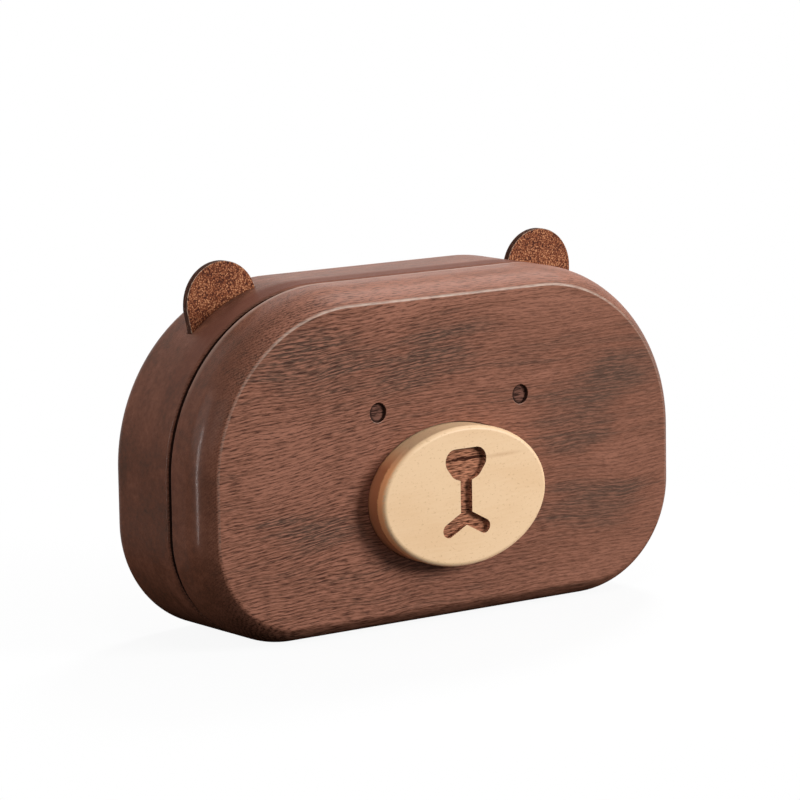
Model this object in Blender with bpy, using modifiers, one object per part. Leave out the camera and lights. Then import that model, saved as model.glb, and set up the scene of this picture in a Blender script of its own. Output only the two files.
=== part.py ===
"""Travel jewelry box in walnut, shaped as a bear's head.

Two hollowed shells meet at an upright seam and turn on two small butt hinges let into
their bottom rails. Magnets in the top rails hold the lid shut. Leather ears stand in slots
in the case, and a beech muzzle is let into the lid's face. The case holds a lined tray with
ring rolls and compartments, and the lid holds a mirror on its lining.

X runs across the face, the face looks towards -Y, and Z is up. The origin is at the middle
of the whole object's footprint, on the surface that it stands on.
"""

import math

import bmesh
import bpy
from mathutils import Matrix

# Body
BODY_WIDTH = 0.1200
BODY_HEIGHT = 0.0700
TOP_CORNER_RADIUS = 0.0360
BOTTOM_CORNER_RADIUS = 0.0230
LID_DEPTH = 0.0123
CASE_DEPTH = 0.0207
SIDE_WALL = 0.0070
HINGE_RAIL = 0.0085
FACE_WALL = 0.0045
BACK_WALL = 0.0040
FACE_ROUND_RADIUS = 0.0088
FACE_PLANED_OFF = 0.0016
BACK_ROUND_RADIUS = 0.0035

# Seam between the shells
SEAM_GAP = 0.0003
GROOVE_WIDTH = 0.0014
GROOVE_DEPTH = 0.0018
RIM_EDGE_RADIUS = 0.0004

# Clearances
FIT_GAP = 0.0003
SNUG_GAP = 0.0002

# Muzzle
MUZZLE_WIDTH = 0.0414
MUZZLE_HEIGHT = 0.0286
MUZZLE_CENTRE_HEIGHT = 0.0263
MUZZLE_STAND = 0.0050
MUZZLE_INLET = 0.0010
MUZZLE_EDGE_RADIUS = 0.0010

# Nose and mouth, engraved in the muzzle, with heights from its centre
ENGRAVING_DEPTH = 0.0011
NOSE_TOP_RADIUS = 0.0025
NOSE_TIP_RADIUS = 0.0032
NOSE_SPREAD = 0.0050
NOSE_TOP_RISE = 0.0073
NOSE_TIP_RISE = 0.0058
MOUTH_LINE_WIDTH = 0.0029
MOUTH_JOIN_DROP = 0.0042
MOUTH_END_SPREAD = 0.0090
MOUTH_END_DROP = 0.0066

# Eyes, sunk in the face
EYE_DIAMETER = 0.0040
EYE_DEPTH = 0.0009
EYE_SPACING = 0.0360
EYE_HEIGHT = 0.0446

# Ears, placed from the head's side and top
EAR_WIDTH = 0.0168
EAR_THICKNESS = 0.0015
EAR_FROM_SIDE = 0.0198
EAR_FROM_TOP = 0.0034
EAR_SETBACK = 0.0092
EAR_TONGUE = 0.0035
EAR_TAPER = 0.21

# Hinges
HINGE_LENGTH = 0.0180
HINGE_SPACING = 0.0460
KNUCKLE_RADIUS = 0.0014
KNUCKLE_COUNT = 5
PIN_RADIUS = 0.00055
PIN_OVERHANG = 0.0003
PIN_GROUND_GAP = 0.0002
LEAF_THICKNESS = 0.0008
LEAF_MARGIN = 0.0006
SCREW_SPACING = 0.0110
SCREW_HEAD_RADIUS = 0.0012
SCREW_HEAD_HEIGHT = 0.0005
SCREW_SHANK_RADIUS = 0.0007
SCREW_TIP_RADIUS = 0.0002
SCREW_TIP_LENGTH = 0.0010
SCREW_LENGTH = 0.0050
SCREW_SINK = 0.0001

# Magnets
MAGNET_RADIUS = 0.0020
MAGNET_THICKNESS = 0.0020
MAGNET_SPACING = 0.0360
MAGNET_CHAMFER = 0.0002

# Lined tray in the case
LINING_THICKNESS = 0.0012
LINING_DROP = 0.0010
DIVIDER_THICKNESS = 0.0020
DIVIDER_EDGE_RADIUS = 0.0005
DIVIDER_SPACING = 0.0520
DIVIDER_DROP = 0.0020
CROSS_DIVIDER_HEIGHT = 0.0360
ROLL_COUNT = 6
ROLL_DEPTH = 0.0104
ROLL_GAP = 0.0004
ROLL_END_RADIUS = 0.0012

# Mirror on the lid's lining
MIRROR_THICKNESS = 0.0018
MIRROR_MARGIN = 0.0040
MIRROR_BEVEL = 0.0004

# Facet counts
TOP_CORNER_STEPS = 18
BOTTOM_CORNER_STEPS = 14
FACE_ROUND_STEPS = 9
BACK_ROUND_STEPS = 5
MUZZLE_STEPS = 64
MUZZLE_EDGE_STEPS = 4
ENGRAVING_STEPS = 36
EYE_STEPS = 24
EAR_STEPS = 24
KNUCKLE_STEPS = 24
PIN_STEPS = 16
SCREW_STEPS = 16
MAGNET_STEPS = 24
ROLL_STEPS = 6

# Planes and heights that follow from the sizes above
SEAM_Y = (MUZZLE_STAND + LID_DEPTH - CASE_DEPTH) / 2
FACE_Y = SEAM_Y - LID_DEPTH
BACK_Y = SEAM_Y + CASE_DEPTH
CASE_RIM_Y = SEAM_Y + SEAM_GAP / 2
LID_RIM_Y = SEAM_Y - SEAM_GAP / 2
CASE_FLOOR_Y = BACK_Y - BACK_WALL
LID_FLOOR_Y = FACE_Y + FACE_WALL
CASE_LINING_Y = CASE_FLOOR_Y - FIT_GAP - LINING_THICKNESS
LID_LINING_Y = LID_FLOOR_Y + FIT_GAP + LINING_THICKNESS
LINED_INSET = FIT_GAP + LINING_THICKNESS
LINED_FOOT = HINGE_RAIL + LINED_INSET
PIN_HEIGHT = KNUCKLE_RADIUS + PIN_GROUND_GAP
KNUCKLE_CLEARANCE = KNUCKLE_RADIUS + FIT_GAP
LEAF_TOP = HINGE_RAIL - LEAF_MARGIN
LEAF_NEAR = SEAM_GAP / 2
LEAF_FAR = LEAF_NEAR + LEAF_THICKNESS
OVERRUN = 0.0020

# Turns that lay a flat piece's outline in the XZ plane or the YZ plane
UPRIGHT = (math.pi / 2, 0.0, 0.0)
EDGEWAYS = (math.pi / 2, 0.0, math.pi / 2)
ALONG_X = (0.0, math.pi / 2, 0.0)
HEAD_FORWARD = (math.pi / 2, 0.0, 0.0)
HEAD_BACKWARD = (-math.pi / 2, 0.0, 0.0)


def clear_scene():
    for obj in list(bpy.data.objects):
        bpy.data.objects.remove(obj, do_unlink=True)


def make_collection(name):
    collection = bpy.data.collections.new(name)
    bpy.context.scene.collection.children.link(collection)
    return collection


def make_material(name, colour, roughness, metallic=0.0):
    material = bpy.data.materials.new(name)
    material.use_nodes = True
    shader = material.node_tree.nodes["Principled BSDF"]
    shader.inputs["Base Color"].default_value = (*colour, 1.0)
    shader.inputs["Roughness"].default_value = roughness
    shader.inputs["Metallic"].default_value = metallic
    return material


clear_scene()
PARTS = make_collection("bear_jewelry_box")
CUTTERS = make_collection("cutters")

WALNUT = make_material("walnut", (0.16, 0.070, 0.045), 0.45)
BEECH = make_material("beech", (0.74, 0.52, 0.30), 0.50)
LEATHER = make_material("leather", (0.24, 0.085, 0.040), 0.65)
BRASS = make_material("brass", (0.72, 0.50, 0.20), 0.30, 1.0)
NICKEL = make_material("nickel", (0.70, 0.69, 0.66), 0.25, 1.0)
VELVET = make_material("velvet", (0.44, 0.35, 0.26), 0.95)
MIRROR_GLASS = make_material("mirror_glass", (0.85, 0.87, 0.88), 0.03, 1.0)


def place(obj, material, location=(0.0, 0.0, 0.0), rotation=(0.0, 0.0, 0.0)):
    """Puts a piece among the parts, or among the cutters where it has no material."""
    obj.location = location
    obj.rotation_euler = rotation
    if material is None:
        obj.hide_render = True
        obj.display_type = "WIRE"
        CUTTERS.objects.link(obj)
        return obj
    obj.data.materials.clear()
    obj.data.materials.append(material)
    obj.data.shade_smooth()
    obj.data.set_sharp_from_angle(angle=math.radians(35))
    PARTS.objects.link(obj)
    return obj


def mesh_object(name, bm):
    bmesh.ops.recalc_face_normals(bm, faces=bm.faces[:])
    mesh = bpy.data.meshes.new(name)
    bm.to_mesh(mesh)
    bm.free()
    return bpy.data.objects.new(name, mesh)


def cut(target, cutter):
    modifier = target.modifiers.new("cut " + cutter.name, "BOOLEAN")
    modifier.operation = "DIFFERENCE"
    modifier.solver = "EXACT"
    modifier.object = cutter


def round_edges(obj, width, segments):
    """Rounds the edges where a piece's faces meet squarely."""
    modifier = obj.modifiers.new("rounded edges", "BEVEL")
    modifier.width = width
    modifier.segments = segments
    modifier.limit_method = "ANGLE"
    modifier.angle_limit = math.radians(60)


def flat_piece(name, outline, thickness, location, rotation, material=None):
    """A flat outline as a filled 2D curve, given its thickness, and turned into a mesh."""
    curve = bpy.data.curves.new(name, "CURVE")
    curve.dimensions = "2D"
    curve.fill_mode = "BOTH"
    curve.extrude = thickness / 2
    spline = curve.splines.new("POLY")
    spline.points.add(len(outline) - 1)
    for point, (across, up) in zip(spline.points, outline):
        point.co = (across, up, 0.0, 1.0)
    spline.use_cyclic_u = True
    guide = bpy.data.objects.new(name + " outline", curve)
    bpy.context.scene.collection.objects.link(guide)
    bpy.context.view_layer.update()
    evaluated = guide.evaluated_get(bpy.context.evaluated_depsgraph_get())
    mesh = bpy.data.meshes.new_from_object(evaluated)
    bm = bmesh.new()
    bm.from_mesh(mesh)
    bmesh.ops.remove_doubles(bm, verts=bm.verts[:], dist=0.000001)
    bpy.data.objects.remove(guide, do_unlink=True)
    bpy.data.meshes.remove(mesh)
    return place(mesh_object(name, bm), material, location, rotation)


def standing_piece(name, outline, start_y, end_y, material=None):
    """A flat piece whose outline stands in XZ, from one depth to another."""
    middle = (0.0, (start_y + end_y) / 2, 0.0)
    return flat_piece(name, outline, abs(end_y - start_y), middle, UPRIGHT, material)


def block(name, low, high, material=None):
    """A box from its low corner to its high corner, with its origin in its middle."""
    bm = bmesh.new()
    size = [b - a for a, b in zip(low, high)]
    middle = [(a + b) / 2 for a, b in zip(low, high)]
    bmesh.ops.create_cube(bm, size=1.0, matrix=Matrix.Diagonal((*size, 1.0)))
    return place(mesh_object(name, bm), material, middle)


def cylinder(name, radius, length, steps, location, rotation, material=None):
    """A cylinder centred on its location."""
    bm = bmesh.new()
    bmesh.ops.create_cone(bm, cap_ends=True, segments=steps, radius1=radius, radius2=radius,
                          depth=length)
    return place(mesh_object(name, bm), material, location, rotation)


def turned_piece(name, profile, steps, location, rotation, material=None):
    """A profile of (radius, height) points, from the top down, turned about its Z axis."""
    bm = bmesh.new()
    verts = [bm.verts.new((radius, 0.0, height)) for radius, height in profile]
    for first, second in zip(verts, verts[1:]):
        bm.edges.new((first, second))
    obj = place(mesh_object(name, bm), material, location, rotation)
    screw = obj.modifiers.new("turned", "SCREW")
    screw.steps = steps
    screw.render_steps = steps
    screw.use_merge_vertices = True
    screw.merge_threshold = 0.00001
    return obj


def arc(centre, radius, first, last, steps):
    """Points of an arc from the angle first to the angle last."""
    turns = [first + (last - first) * step / steps for step in range(steps + 1)]
    return [(centre[0] + radius * math.cos(t), centre[1] + radius * math.sin(t)) for t in turns]


def corner(centre_x, centre_z, radius, start, steps):
    """Points of a quarter circle, anticlockwise from the angle start."""
    return arc((centre_x, centre_z), radius, start, start + math.pi / 2, steps)


def head_outline(side_inset=0.0, foot_inset=0.0):
    """The head's outline, anticlockwise, drawn in at its sides and top, and at its foot."""
    side = BODY_WIDTH / 2 - TOP_CORNER_RADIUS
    foot = BODY_WIDTH / 2 - BOTTOM_CORNER_RADIUS
    crown = BODY_HEIGHT - TOP_CORNER_RADIUS
    heel = BOTTOM_CORNER_RADIUS - side_inset + foot_inset
    top, bottom = TOP_CORNER_RADIUS - side_inset, BOTTOM_CORNER_RADIUS - side_inset
    quarter = math.pi / 2
    return (
        corner(foot, heel, bottom, -quarter, BOTTOM_CORNER_STEPS)
        + corner(side, crown, top, 0.0, TOP_CORNER_STEPS)
        + corner(-side, crown, top, quarter, TOP_CORNER_STEPS)
        + corner(-foot, heel, bottom, 2 * quarter, BOTTOM_CORNER_STEPS)
    )


def hollow_outline(inset=0.0):
    """The hollow inside the side wall and above the hinge rail, drawn in by inset."""
    return head_outline(SIDE_WALL + inset, HINGE_RAIL + inset)


def lined_width(height):
    """How far the lined hollow reaches from the middle at a height in its upper half."""
    radius = TOP_CORNER_RADIUS - SIDE_WALL - LINED_INSET
    rise = max(0.0, height - (BODY_HEIGHT - TOP_CORNER_RADIUS))
    return BODY_WIDTH / 2 - TOP_CORNER_RADIUS + math.sqrt(radius**2 - rise**2)


def lined_top(across):
    """How high the lined hollow reaches at a distance from the middle."""
    radius = TOP_CORNER_RADIUS - SIDE_WALL - LINED_INSET
    beyond = max(0.0, across - (BODY_WIDTH / 2 - TOP_CORNER_RADIUS))
    return BODY_HEIGHT - TOP_CORNER_RADIUS + math.sqrt(radius**2 - beyond**2)


def slot_outline(start, end, radius, steps=ENGRAVING_STEPS // 2):
    """A round-ended slot from start to end, anticlockwise."""
    heading = math.atan2(end[1] - start[1], end[0] - start[0])
    points = []
    for centre, turn in ((end, -math.pi / 2), (start, math.pi / 2)):
        points += arc(centre, radius, heading + turn, heading + turn + math.pi, steps)
    return points


def band_outline(circles, steps=ENGRAVING_STEPS):
    """A band stretched round circles given as (x, z, radius), anticlockwise."""
    points = []
    for step in range(steps):
        turn = 2 * math.pi * (step + 0.5) / steps
        x_way, z_way = math.cos(turn), math.sin(turn)
        x, z, radius = max(circles, key=lambda c: c[0] * x_way + c[1] * z_way + c[2])
        points.append((x + radius * x_way, z + radius * z_way))
    return points


def faces_at(bm, y):
    return [face for face in bm.faces if all(abs(vert.co.y - y) < 1e-6 for vert in face.verts)]


def make_shell(name, rim_y, floor_y, flat_y, round_radius, round_steps, planed_off):
    """Half of the head: rounded over at its flat end, rebated round its rim, and hollowed.

    The round-over can be planed off by a little, which leaves a crisp line round the flat.
    """
    way = 1 if flat_y > rim_y else -1
    lip_y = SEAM_Y + way * GROOVE_WIDTH / 2
    end_y = flat_y + way * planed_off
    bm = bmesh.new()
    rim = bm.faces.new([bm.verts.new((x, lip_y, z)) for x, z in head_outline()])
    pushed = bmesh.ops.extrude_face_region(bm, geom=[rim])["geom"]
    moved = [item for item in pushed if isinstance(item, bmesh.types.BMVert)]
    bmesh.ops.translate(bm, vec=(0.0, end_y - lip_y, 0.0), verts=moved)
    bmesh.ops.recalc_face_normals(bm, faces=bm.faces[:])
    edges = faces_at(bm, end_y)[0].edges[:]
    bmesh.ops.bevel(bm, geom=edges, offset=round_radius, segments=round_steps, profile=0.5,
                    affect="EDGES")
    if planed_off:
        everything = bm.verts[:] + bm.edges[:] + bm.faces[:]
        sawn = bmesh.ops.bisect_plane(bm, geom=everything, dist=1e-7, plane_co=(0.0, flat_y, 0.0),
                                      plane_no=(0.0, way, 0.0), clear_outer=True)["geom_cut"]
        bmesh.ops.contextual_create(bm, geom=[e for e in sawn if isinstance(e, bmesh.types.BMEdge)])

    # The rim's land stands out of a rebate that is half of the groove
    edges = faces_at(bm, lip_y)[0].edges[:]
    bmesh.ops.bevel(bm, geom=edges, offset=RIM_EDGE_RADIUS, segments=2, profile=0.5,
                    affect="EDGES")
    land = faces_at(bm, lip_y)
    bmesh.ops.inset_region(bm, faces=land, thickness=GROOVE_DEPTH - RIM_EDGE_RADIUS,
                           use_even_offset=True)
    pushed = bmesh.ops.extrude_face_region(bm, geom=land)["geom"]
    moved = [item for item in pushed if isinstance(item, bmesh.types.BMVert)]
    bmesh.ops.translate(bm, vec=(0.0, rim_y - lip_y, 0.0), verts=moved)
    bmesh.ops.delete(bm, geom=[face for face in land if face.is_valid], context="FACES_ONLY")

    shell = place(mesh_object(name, bm), WALNUT)
    hollow = standing_piece(name + " hollow cutter", hollow_outline(), floor_y,
                            rim_y - way * OVERRUN)
    cut(shell, hollow)
    return shell


def oval_block(name, grow, start_y, end_y, material=None):
    """The muzzle's oval, grown by a clearance, from one depth to another."""
    bm = bmesh.new()
    scale = Matrix.Diagonal((MUZZLE_WIDTH / 2 + grow, MUZZLE_HEIGHT / 2 + grow, 1.0, 1.0))
    bmesh.ops.create_cone(bm, cap_ends=True, segments=MUZZLE_STEPS, radius1=1.0, radius2=1.0,
                          depth=abs(end_y - start_y), matrix=scale)
    if material is not None:
        top = max(bm.faces, key=lambda face: face.calc_center_median().z)
        bmesh.ops.bevel(bm, geom=top.edges[:], offset=MUZZLE_EDGE_RADIUS, profile=0.5,
                        segments=MUZZLE_EDGE_STEPS, affect="EDGES")
    location = (0.0, (start_y + end_y) / 2, MUZZLE_CENTRE_HEIGHT)
    return place(mesh_object(name, bm), material, location, UPRIGHT)


def make_muzzle(lid):
    front_y = FACE_Y - MUZZLE_STAND
    seat_y = FACE_Y + MUZZLE_INLET
    cut(lid, oval_block("muzzle pocket cutter", SNUG_GAP, front_y, seat_y))
    muzzle = oval_block("muzzle_plate", 0.0, front_y, seat_y - FIT_GAP, BEECH)
    tip = (0.0, MUZZLE_CENTRE_HEIGHT + NOSE_TIP_RISE)
    join = (0.0, MUZZLE_CENTRE_HEIGHT - MOUTH_JOIN_DROP)
    top_height = MUZZLE_CENTRE_HEIGHT + NOSE_TOP_RISE
    nose = band_outline([
        (-NOSE_SPREAD / 2, top_height, NOSE_TOP_RADIUS),
        (NOSE_SPREAD / 2, top_height, NOSE_TOP_RADIUS),
        (*tip, NOSE_TIP_RADIUS),
    ])
    strokes = [("nose", nose), ("stem", slot_outline(join, tip, MOUTH_LINE_WIDTH / 2))]
    for side, word in ((-1, "left"), (1, "right")):
        end = (side * MOUTH_END_SPREAD / 2, MUZZLE_CENTRE_HEIGHT - MOUTH_END_DROP)
        strokes.append((word + " mouth", slot_outline(join, end, MOUTH_LINE_WIDTH / 2)))
    for word, outline in strokes:
        cutter = standing_piece(word + " cutter", outline, front_y - OVERRUN,
                                front_y + ENGRAVING_DEPTH)
        cut(muzzle, cutter)


def make_eyes(lid):
    length = EYE_DEPTH + OVERRUN
    for side, word in ((-1, "left"), (1, "right")):
        centre = (side * EYE_SPACING / 2, FACE_Y + EYE_DEPTH - length / 2, EYE_HEIGHT)
        cut(lid, cylinder(word + " eye cutter", EYE_DIAMETER / 2, length, EYE_STEPS, centre, UPRIGHT))


def ear_outline(side, play):
    """A tab with a round head, an outer side that draws in and a foot that follows the corner."""
    radius = EAR_WIDTH / 2 + play
    foot_radius = TOP_CORNER_RADIUS - EAR_TONGUE - play
    turn = (BODY_WIDTH / 2 - TOP_CORNER_RADIUS, BODY_HEIGHT - TOP_CORNER_RADIUS)
    head = (BODY_WIDTH / 2 - EAR_FROM_SIDE, BODY_HEIGHT - EAR_FROM_TOP)
    away_x, away_z = head[0] - turn[0], head[1] - turn[1]
    away = math.hypot(away_x, away_z)

    # Angles about the corner's centre at which the outer side and the round head meet the foot
    side_reach = away_x * math.cos(EAR_TAPER) - away_z * math.sin(EAR_TAPER) + radius
    outer = math.acos(side_reach / foot_radius) - EAR_TAPER
    spread = math.acos((foot_radius**2 + away**2 - radius**2) / (2 * foot_radius * away))
    inner = math.atan2(away_z, away_x) + spread

    meet = (foot_radius * math.cos(inner) - away_x, foot_radius * math.sin(inner) - away_z)
    last = math.atan2(meet[1], meet[0]) % (2 * math.pi)
    points = arc(head, radius, -EAR_TAPER, last, EAR_STEPS)
    points += arc(turn, foot_radius, inner, outer, EAR_STEPS // 2)[1:]
    return [(side * x, z) for x, z in points]


def make_ears(case):
    front_y = SEAM_Y + EAR_SETBACK
    back_y = front_y + EAR_THICKNESS
    for side, word in ((-1, "left"), (1, "right")):
        standing_piece("ear_" + word, ear_outline(side, 0.0), front_y, back_y, LEATHER)
        slot = standing_piece(word + " ear slot cutter", ear_outline(side, SNUG_GAP),
                              front_y - SNUG_GAP, back_y + SNUG_GAP)
        cut(case, slot)


def leaf_outline(way):
    """A leaf and its rolled knuckle from the side, about the pin; way is 1 behind the seam."""
    near_turn = math.acos(LEAF_NEAR / KNUCKLE_RADIUS)
    far_turn = math.acos(LEAF_FAR / KNUCKLE_RADIUS) + 2 * math.pi
    height = LEAF_TOP - PIN_HEIGHT
    points = [(LEAF_FAR, height), (LEAF_NEAR, height)]
    for step in range(KNUCKLE_STEPS + 1):
        turn = near_turn + (far_turn - near_turn) * step / KNUCKLE_STEPS
        points.append((KNUCKLE_RADIUS * math.cos(turn), KNUCKLE_RADIUS * math.sin(turn)))
    return [(way * y, z) for y, z in points]


def make_leaf(name, middle, way):
    """One leaf of a hinge: the case's leaf has the odd knuckles, and the lid's the even ones."""
    leaf = flat_piece(name, leaf_outline(way), HINGE_LENGTH, (middle, SEAM_Y, PIN_HEIGHT),
                      EDGEWAYS, BRASS)
    pitch = HINGE_LENGTH / KNUCKLE_COUNT
    reach = KNUCKLE_CLEARANCE + OVERRUN
    for number in range(0 if way < 0 else 1, KNUCKLE_COUNT, 2):
        low_x = middle - HINGE_LENGTH / 2 + number * pitch - SNUG_GAP / 2
        high_x = low_x + pitch + SNUG_GAP
        low_x -= OVERRUN if number == 0 else 0.0
        high_x += OVERRUN if number == KNUCKLE_COUNT - 1 else 0.0
        notch = block(f"{name} notch cutter {number}", (low_x, SEAM_Y - reach, PIN_HEIGHT - reach),
                      (high_x, SEAM_Y + reach, PIN_HEIGHT + KNUCKLE_CLEARANCE))
        cut(leaf, notch)
    bore = cylinder(name + " bore cutter", PIN_RADIUS + SNUG_GAP, HINGE_LENGTH + 2 * OVERRUN,
                    PIN_STEPS, (middle, SEAM_Y, PIN_HEIGHT), ALONG_X)
    cut(leaf, bore)
    return leaf


def screw_profile(play):
    """A countersunk screw below its head's face; with play it is the hole for the screw."""
    head = [(0.0, 0.0)] if play == 0 else [(0.0, OVERRUN), (SCREW_HEAD_RADIUS + play, OVERRUN)]
    shank_top = -SCREW_HEAD_HEIGHT - play
    return head + [
        (SCREW_HEAD_RADIUS + play, -play),
        (SCREW_SHANK_RADIUS + play, shank_top),
        (SCREW_SHANK_RADIUS + play, SCREW_TIP_LENGTH - SCREW_LENGTH),
        (SCREW_TIP_RADIUS + play, -SCREW_LENGTH - play),
        (0.0, -SCREW_LENGTH - play),
    ]


def fasten_leaf(leaf, shell, middle, way):
    """Two screws through a leaf into its shell, and the holes that they sit in."""
    rotation = HEAD_FORWARD if way > 0 else HEAD_BACKWARD
    height = (PIN_HEIGHT + KNUCKLE_CLEARANCE + LEAF_TOP) / 2
    for number, side in ((1, -1), (2, 1)):
        spot = (middle + side * SCREW_SPACING / 2, SEAM_Y + way * (LEAF_NEAR + SCREW_SINK), height)
        name = f"{leaf.name[:-len('leaf')]}screw_{number}"
        turned_piece(name, screw_profile(0.0), SCREW_STEPS, spot, rotation, BRASS)
        hole = turned_piece(name + " hole cutter", screw_profile(SNUG_GAP), SCREW_STEPS, spot,
                            rotation)
        cut(leaf, hole)
        cut(shell, hole)


def make_hinges(case, lid):
    pin_length = HINGE_LENGTH + 2 * PIN_OVERHANG
    for side, word in ((-1, "left"), (1, "right")):
        middle = side * HINGE_SPACING / 2
        centre = (middle, SEAM_Y, PIN_HEIGHT)
        cylinder(f"hinge_{word}_pin", PIN_RADIUS, pin_length, PIN_STEPS, centre, ALONG_X, BRASS)
        relief = cylinder(word + " knuckle relief cutter", KNUCKLE_CLEARANCE,
                          pin_length + 2 * FIT_GAP, KNUCKLE_STEPS, centre, ALONG_X)
        half = HINGE_LENGTH / 2 + FIT_GAP
        reach = LEAF_FAR + FIT_GAP
        mortise = block(word + " leaf mortise cutter", (middle - half, SEAM_Y - reach, PIN_HEIGHT),
                        (middle + half, SEAM_Y + reach, LEAF_TOP + FIT_GAP))
        for shell, shell_word, way in ((case, "case", 1), (lid, "lid", -1)):
            cut(shell, relief)
            cut(shell, mortise)
            leaf = make_leaf(f"hinge_{word}_{shell_word}_leaf", middle, way)
            fasten_leaf(leaf, shell, middle, way)


def bevel_rims_below_pins(case, lid):
    """Cuts both rims back below the pins, so that the lid can swing down past a right angle."""
    near = GROOVE_WIDTH / 2
    far = near + PIN_HEIGHT + OVERRUN
    outline = [(near, 0.0), (-near, 0.0), (-far, -PIN_HEIGHT - OVERRUN), (far, -PIN_HEIGHT - OVERRUN)]
    wedge = flat_piece("hinge line cutter", outline, BODY_WIDTH, (0.0, SEAM_Y, PIN_HEIGHT), EDGEWAYS)
    cut(case, wedge)
    cut(lid, wedge)


def make_magnets(case, lid):
    """Two pairs of disc magnets, flush in the middle of the rims' top lands."""
    height = BODY_HEIGHT - (GROOVE_DEPTH + SIDE_WALL) / 2
    for shell, shell_word, rim_y in ((case, "case", CASE_RIM_Y), (lid, "lid", LID_RIM_Y)):
        way = 1 if rim_y > SEAM_Y else -1
        for side, word in ((-1, "left"), (1, "right")):
            x = side * MAGNET_SPACING / 2
            name = f"magnet_{word}_{shell_word}"
            centre = (x, rim_y + way * MAGNET_THICKNESS / 2, height)
            magnet = cylinder(name, MAGNET_RADIUS, MAGNET_THICKNESS, MAGNET_STEPS, centre, UPRIGHT,
                              NICKEL)
            round_edges(magnet, MAGNET_CHAMFER, 1)
            length = OVERRUN + MAGNET_THICKNESS + FIT_GAP
            centre = (x, rim_y + way * (length / 2 - OVERRUN), height)
            cut(shell, cylinder(name + " pocket cutter", MAGNET_RADIUS + SNUG_GAP, length,
                                MAGNET_STEPS, centre, UPRIGHT))


def make_lining(name, floor_y, rim_y):
    """An open tray in a shell's hollow, with its mouth a little below the rim."""
    way = 1 if floor_y > rim_y else -1
    back_y = floor_y - way * FIT_GAP
    mouth_y = rim_y + way * LINING_DROP
    bm = bmesh.new()
    bm.faces.new([bm.verts.new((x, back_y, z)) for x, z in hollow_outline(FIT_GAP)])
    pushed = bmesh.ops.extrude_edge_only(bm, edges=bm.edges[:])["geom"]
    moved = [item for item in pushed if isinstance(item, bmesh.types.BMVert)]
    bmesh.ops.translate(bm, vec=(0.0, mouth_y - back_y, 0.0), verts=moved)
    lining = place(mesh_object(name, bm), VELVET)
    solidify = lining.modifiers.new("thickness", "SOLIDIFY")
    solidify.thickness = LINING_THICKNESS
    solidify.offset = -1.0
    solidify.use_even_offset = True


def make_dividers():
    foot = LINED_FOOT + FIT_GAP
    top_y = CASE_RIM_Y + DIVIDER_DROP
    back_y = CASE_LINING_Y - FIT_GAP
    near = (DIVIDER_SPACING - DIVIDER_THICKNESS) / 2
    far = (DIVIDER_SPACING + DIVIDER_THICKNESS) / 2
    head = lined_top(far) - FIT_GAP
    left = block("divider_left", (-far, top_y, foot), (-near, back_y, head), VELVET)
    right = block("divider_right", (near, top_y, foot), (far, back_y, head), VELVET)
    low = CROSS_DIVIDER_HEIGHT - DIVIDER_THICKNESS / 2
    high = CROSS_DIVIDER_HEIGHT + DIVIDER_THICKNESS / 2
    end = lined_width(high) - FIT_GAP
    cross = block("divider_cross", (far + FIT_GAP, top_y, low), (end, back_y, high), VELVET)
    for divider in (left, right, cross):
        round_edges(divider, DIVIDER_EDGE_RADIUS, 2)


def make_ring_rolls():
    """Padded rolls side by side between the dividers, with crowned fronts."""
    room = DIVIDER_SPACING - DIVIDER_THICKNESS - 2 * FIT_GAP
    pitch = room / ROLL_COUNT
    width = pitch - ROLL_GAP
    height = lined_top(room / 2) - LINED_FOOT - 2 * FIT_GAP
    middle_y = CASE_LINING_Y - FIT_GAP - ROLL_DEPTH / 2
    middle_z = LINED_FOOT + FIT_GAP + height / 2
    for number in range(ROLL_COUNT):
        bm = bmesh.new()
        size = Matrix.Diagonal((width, ROLL_DEPTH, height, 1.0))
        bmesh.ops.create_cube(bm, size=1.0, matrix=size)
        front = [edge for edge in bm.edges if all(vert.co.y < 0 for vert in edge.verts)]
        upright = [e for e in front if abs(e.verts[0].co.z - e.verts[1].co.z) > height / 2]
        bmesh.ops.bevel(bm, geom=upright, offset=width * 0.45, segments=ROLL_STEPS, profile=0.5,
                        affect="EDGES")
        x = -room / 2 + pitch * (number + 0.5)
        roll = place(mesh_object(f"ring_roll_{number + 1}", bm), VELVET, (x, middle_y, middle_z))
        round_edges(roll, ROLL_END_RADIUS, 2)


def make_mirror():
    back_y = LID_LINING_Y + FIT_GAP
    mirror = standing_piece("mirror", hollow_outline(LINED_INSET + MIRROR_MARGIN), back_y,
                            back_y + MIRROR_THICKNESS, MIRROR_GLASS)
    round_edges(mirror, MIRROR_BEVEL, 1)


def hang_lid_on_hinge():
    """Parents what turns with the lid to an empty on the axis of the hinge pins."""
    axis = bpy.data.objects.new("lid_axis", None)
    axis.location = (0.0, SEAM_Y, PIN_HEIGHT)
    PARTS.objects.link(axis)
    bpy.context.view_layer.update()
    turning = ("face_lid", "muzzle_plate", "lid_lining", "mirror")
    for obj in PARTS.objects:
        if obj.name in turning or "_lid_" in obj.name or obj.name.endswith("_lid"):
            obj.parent = axis
            obj.matrix_parent_inverse = axis.matrix_world.inverted()


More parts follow.
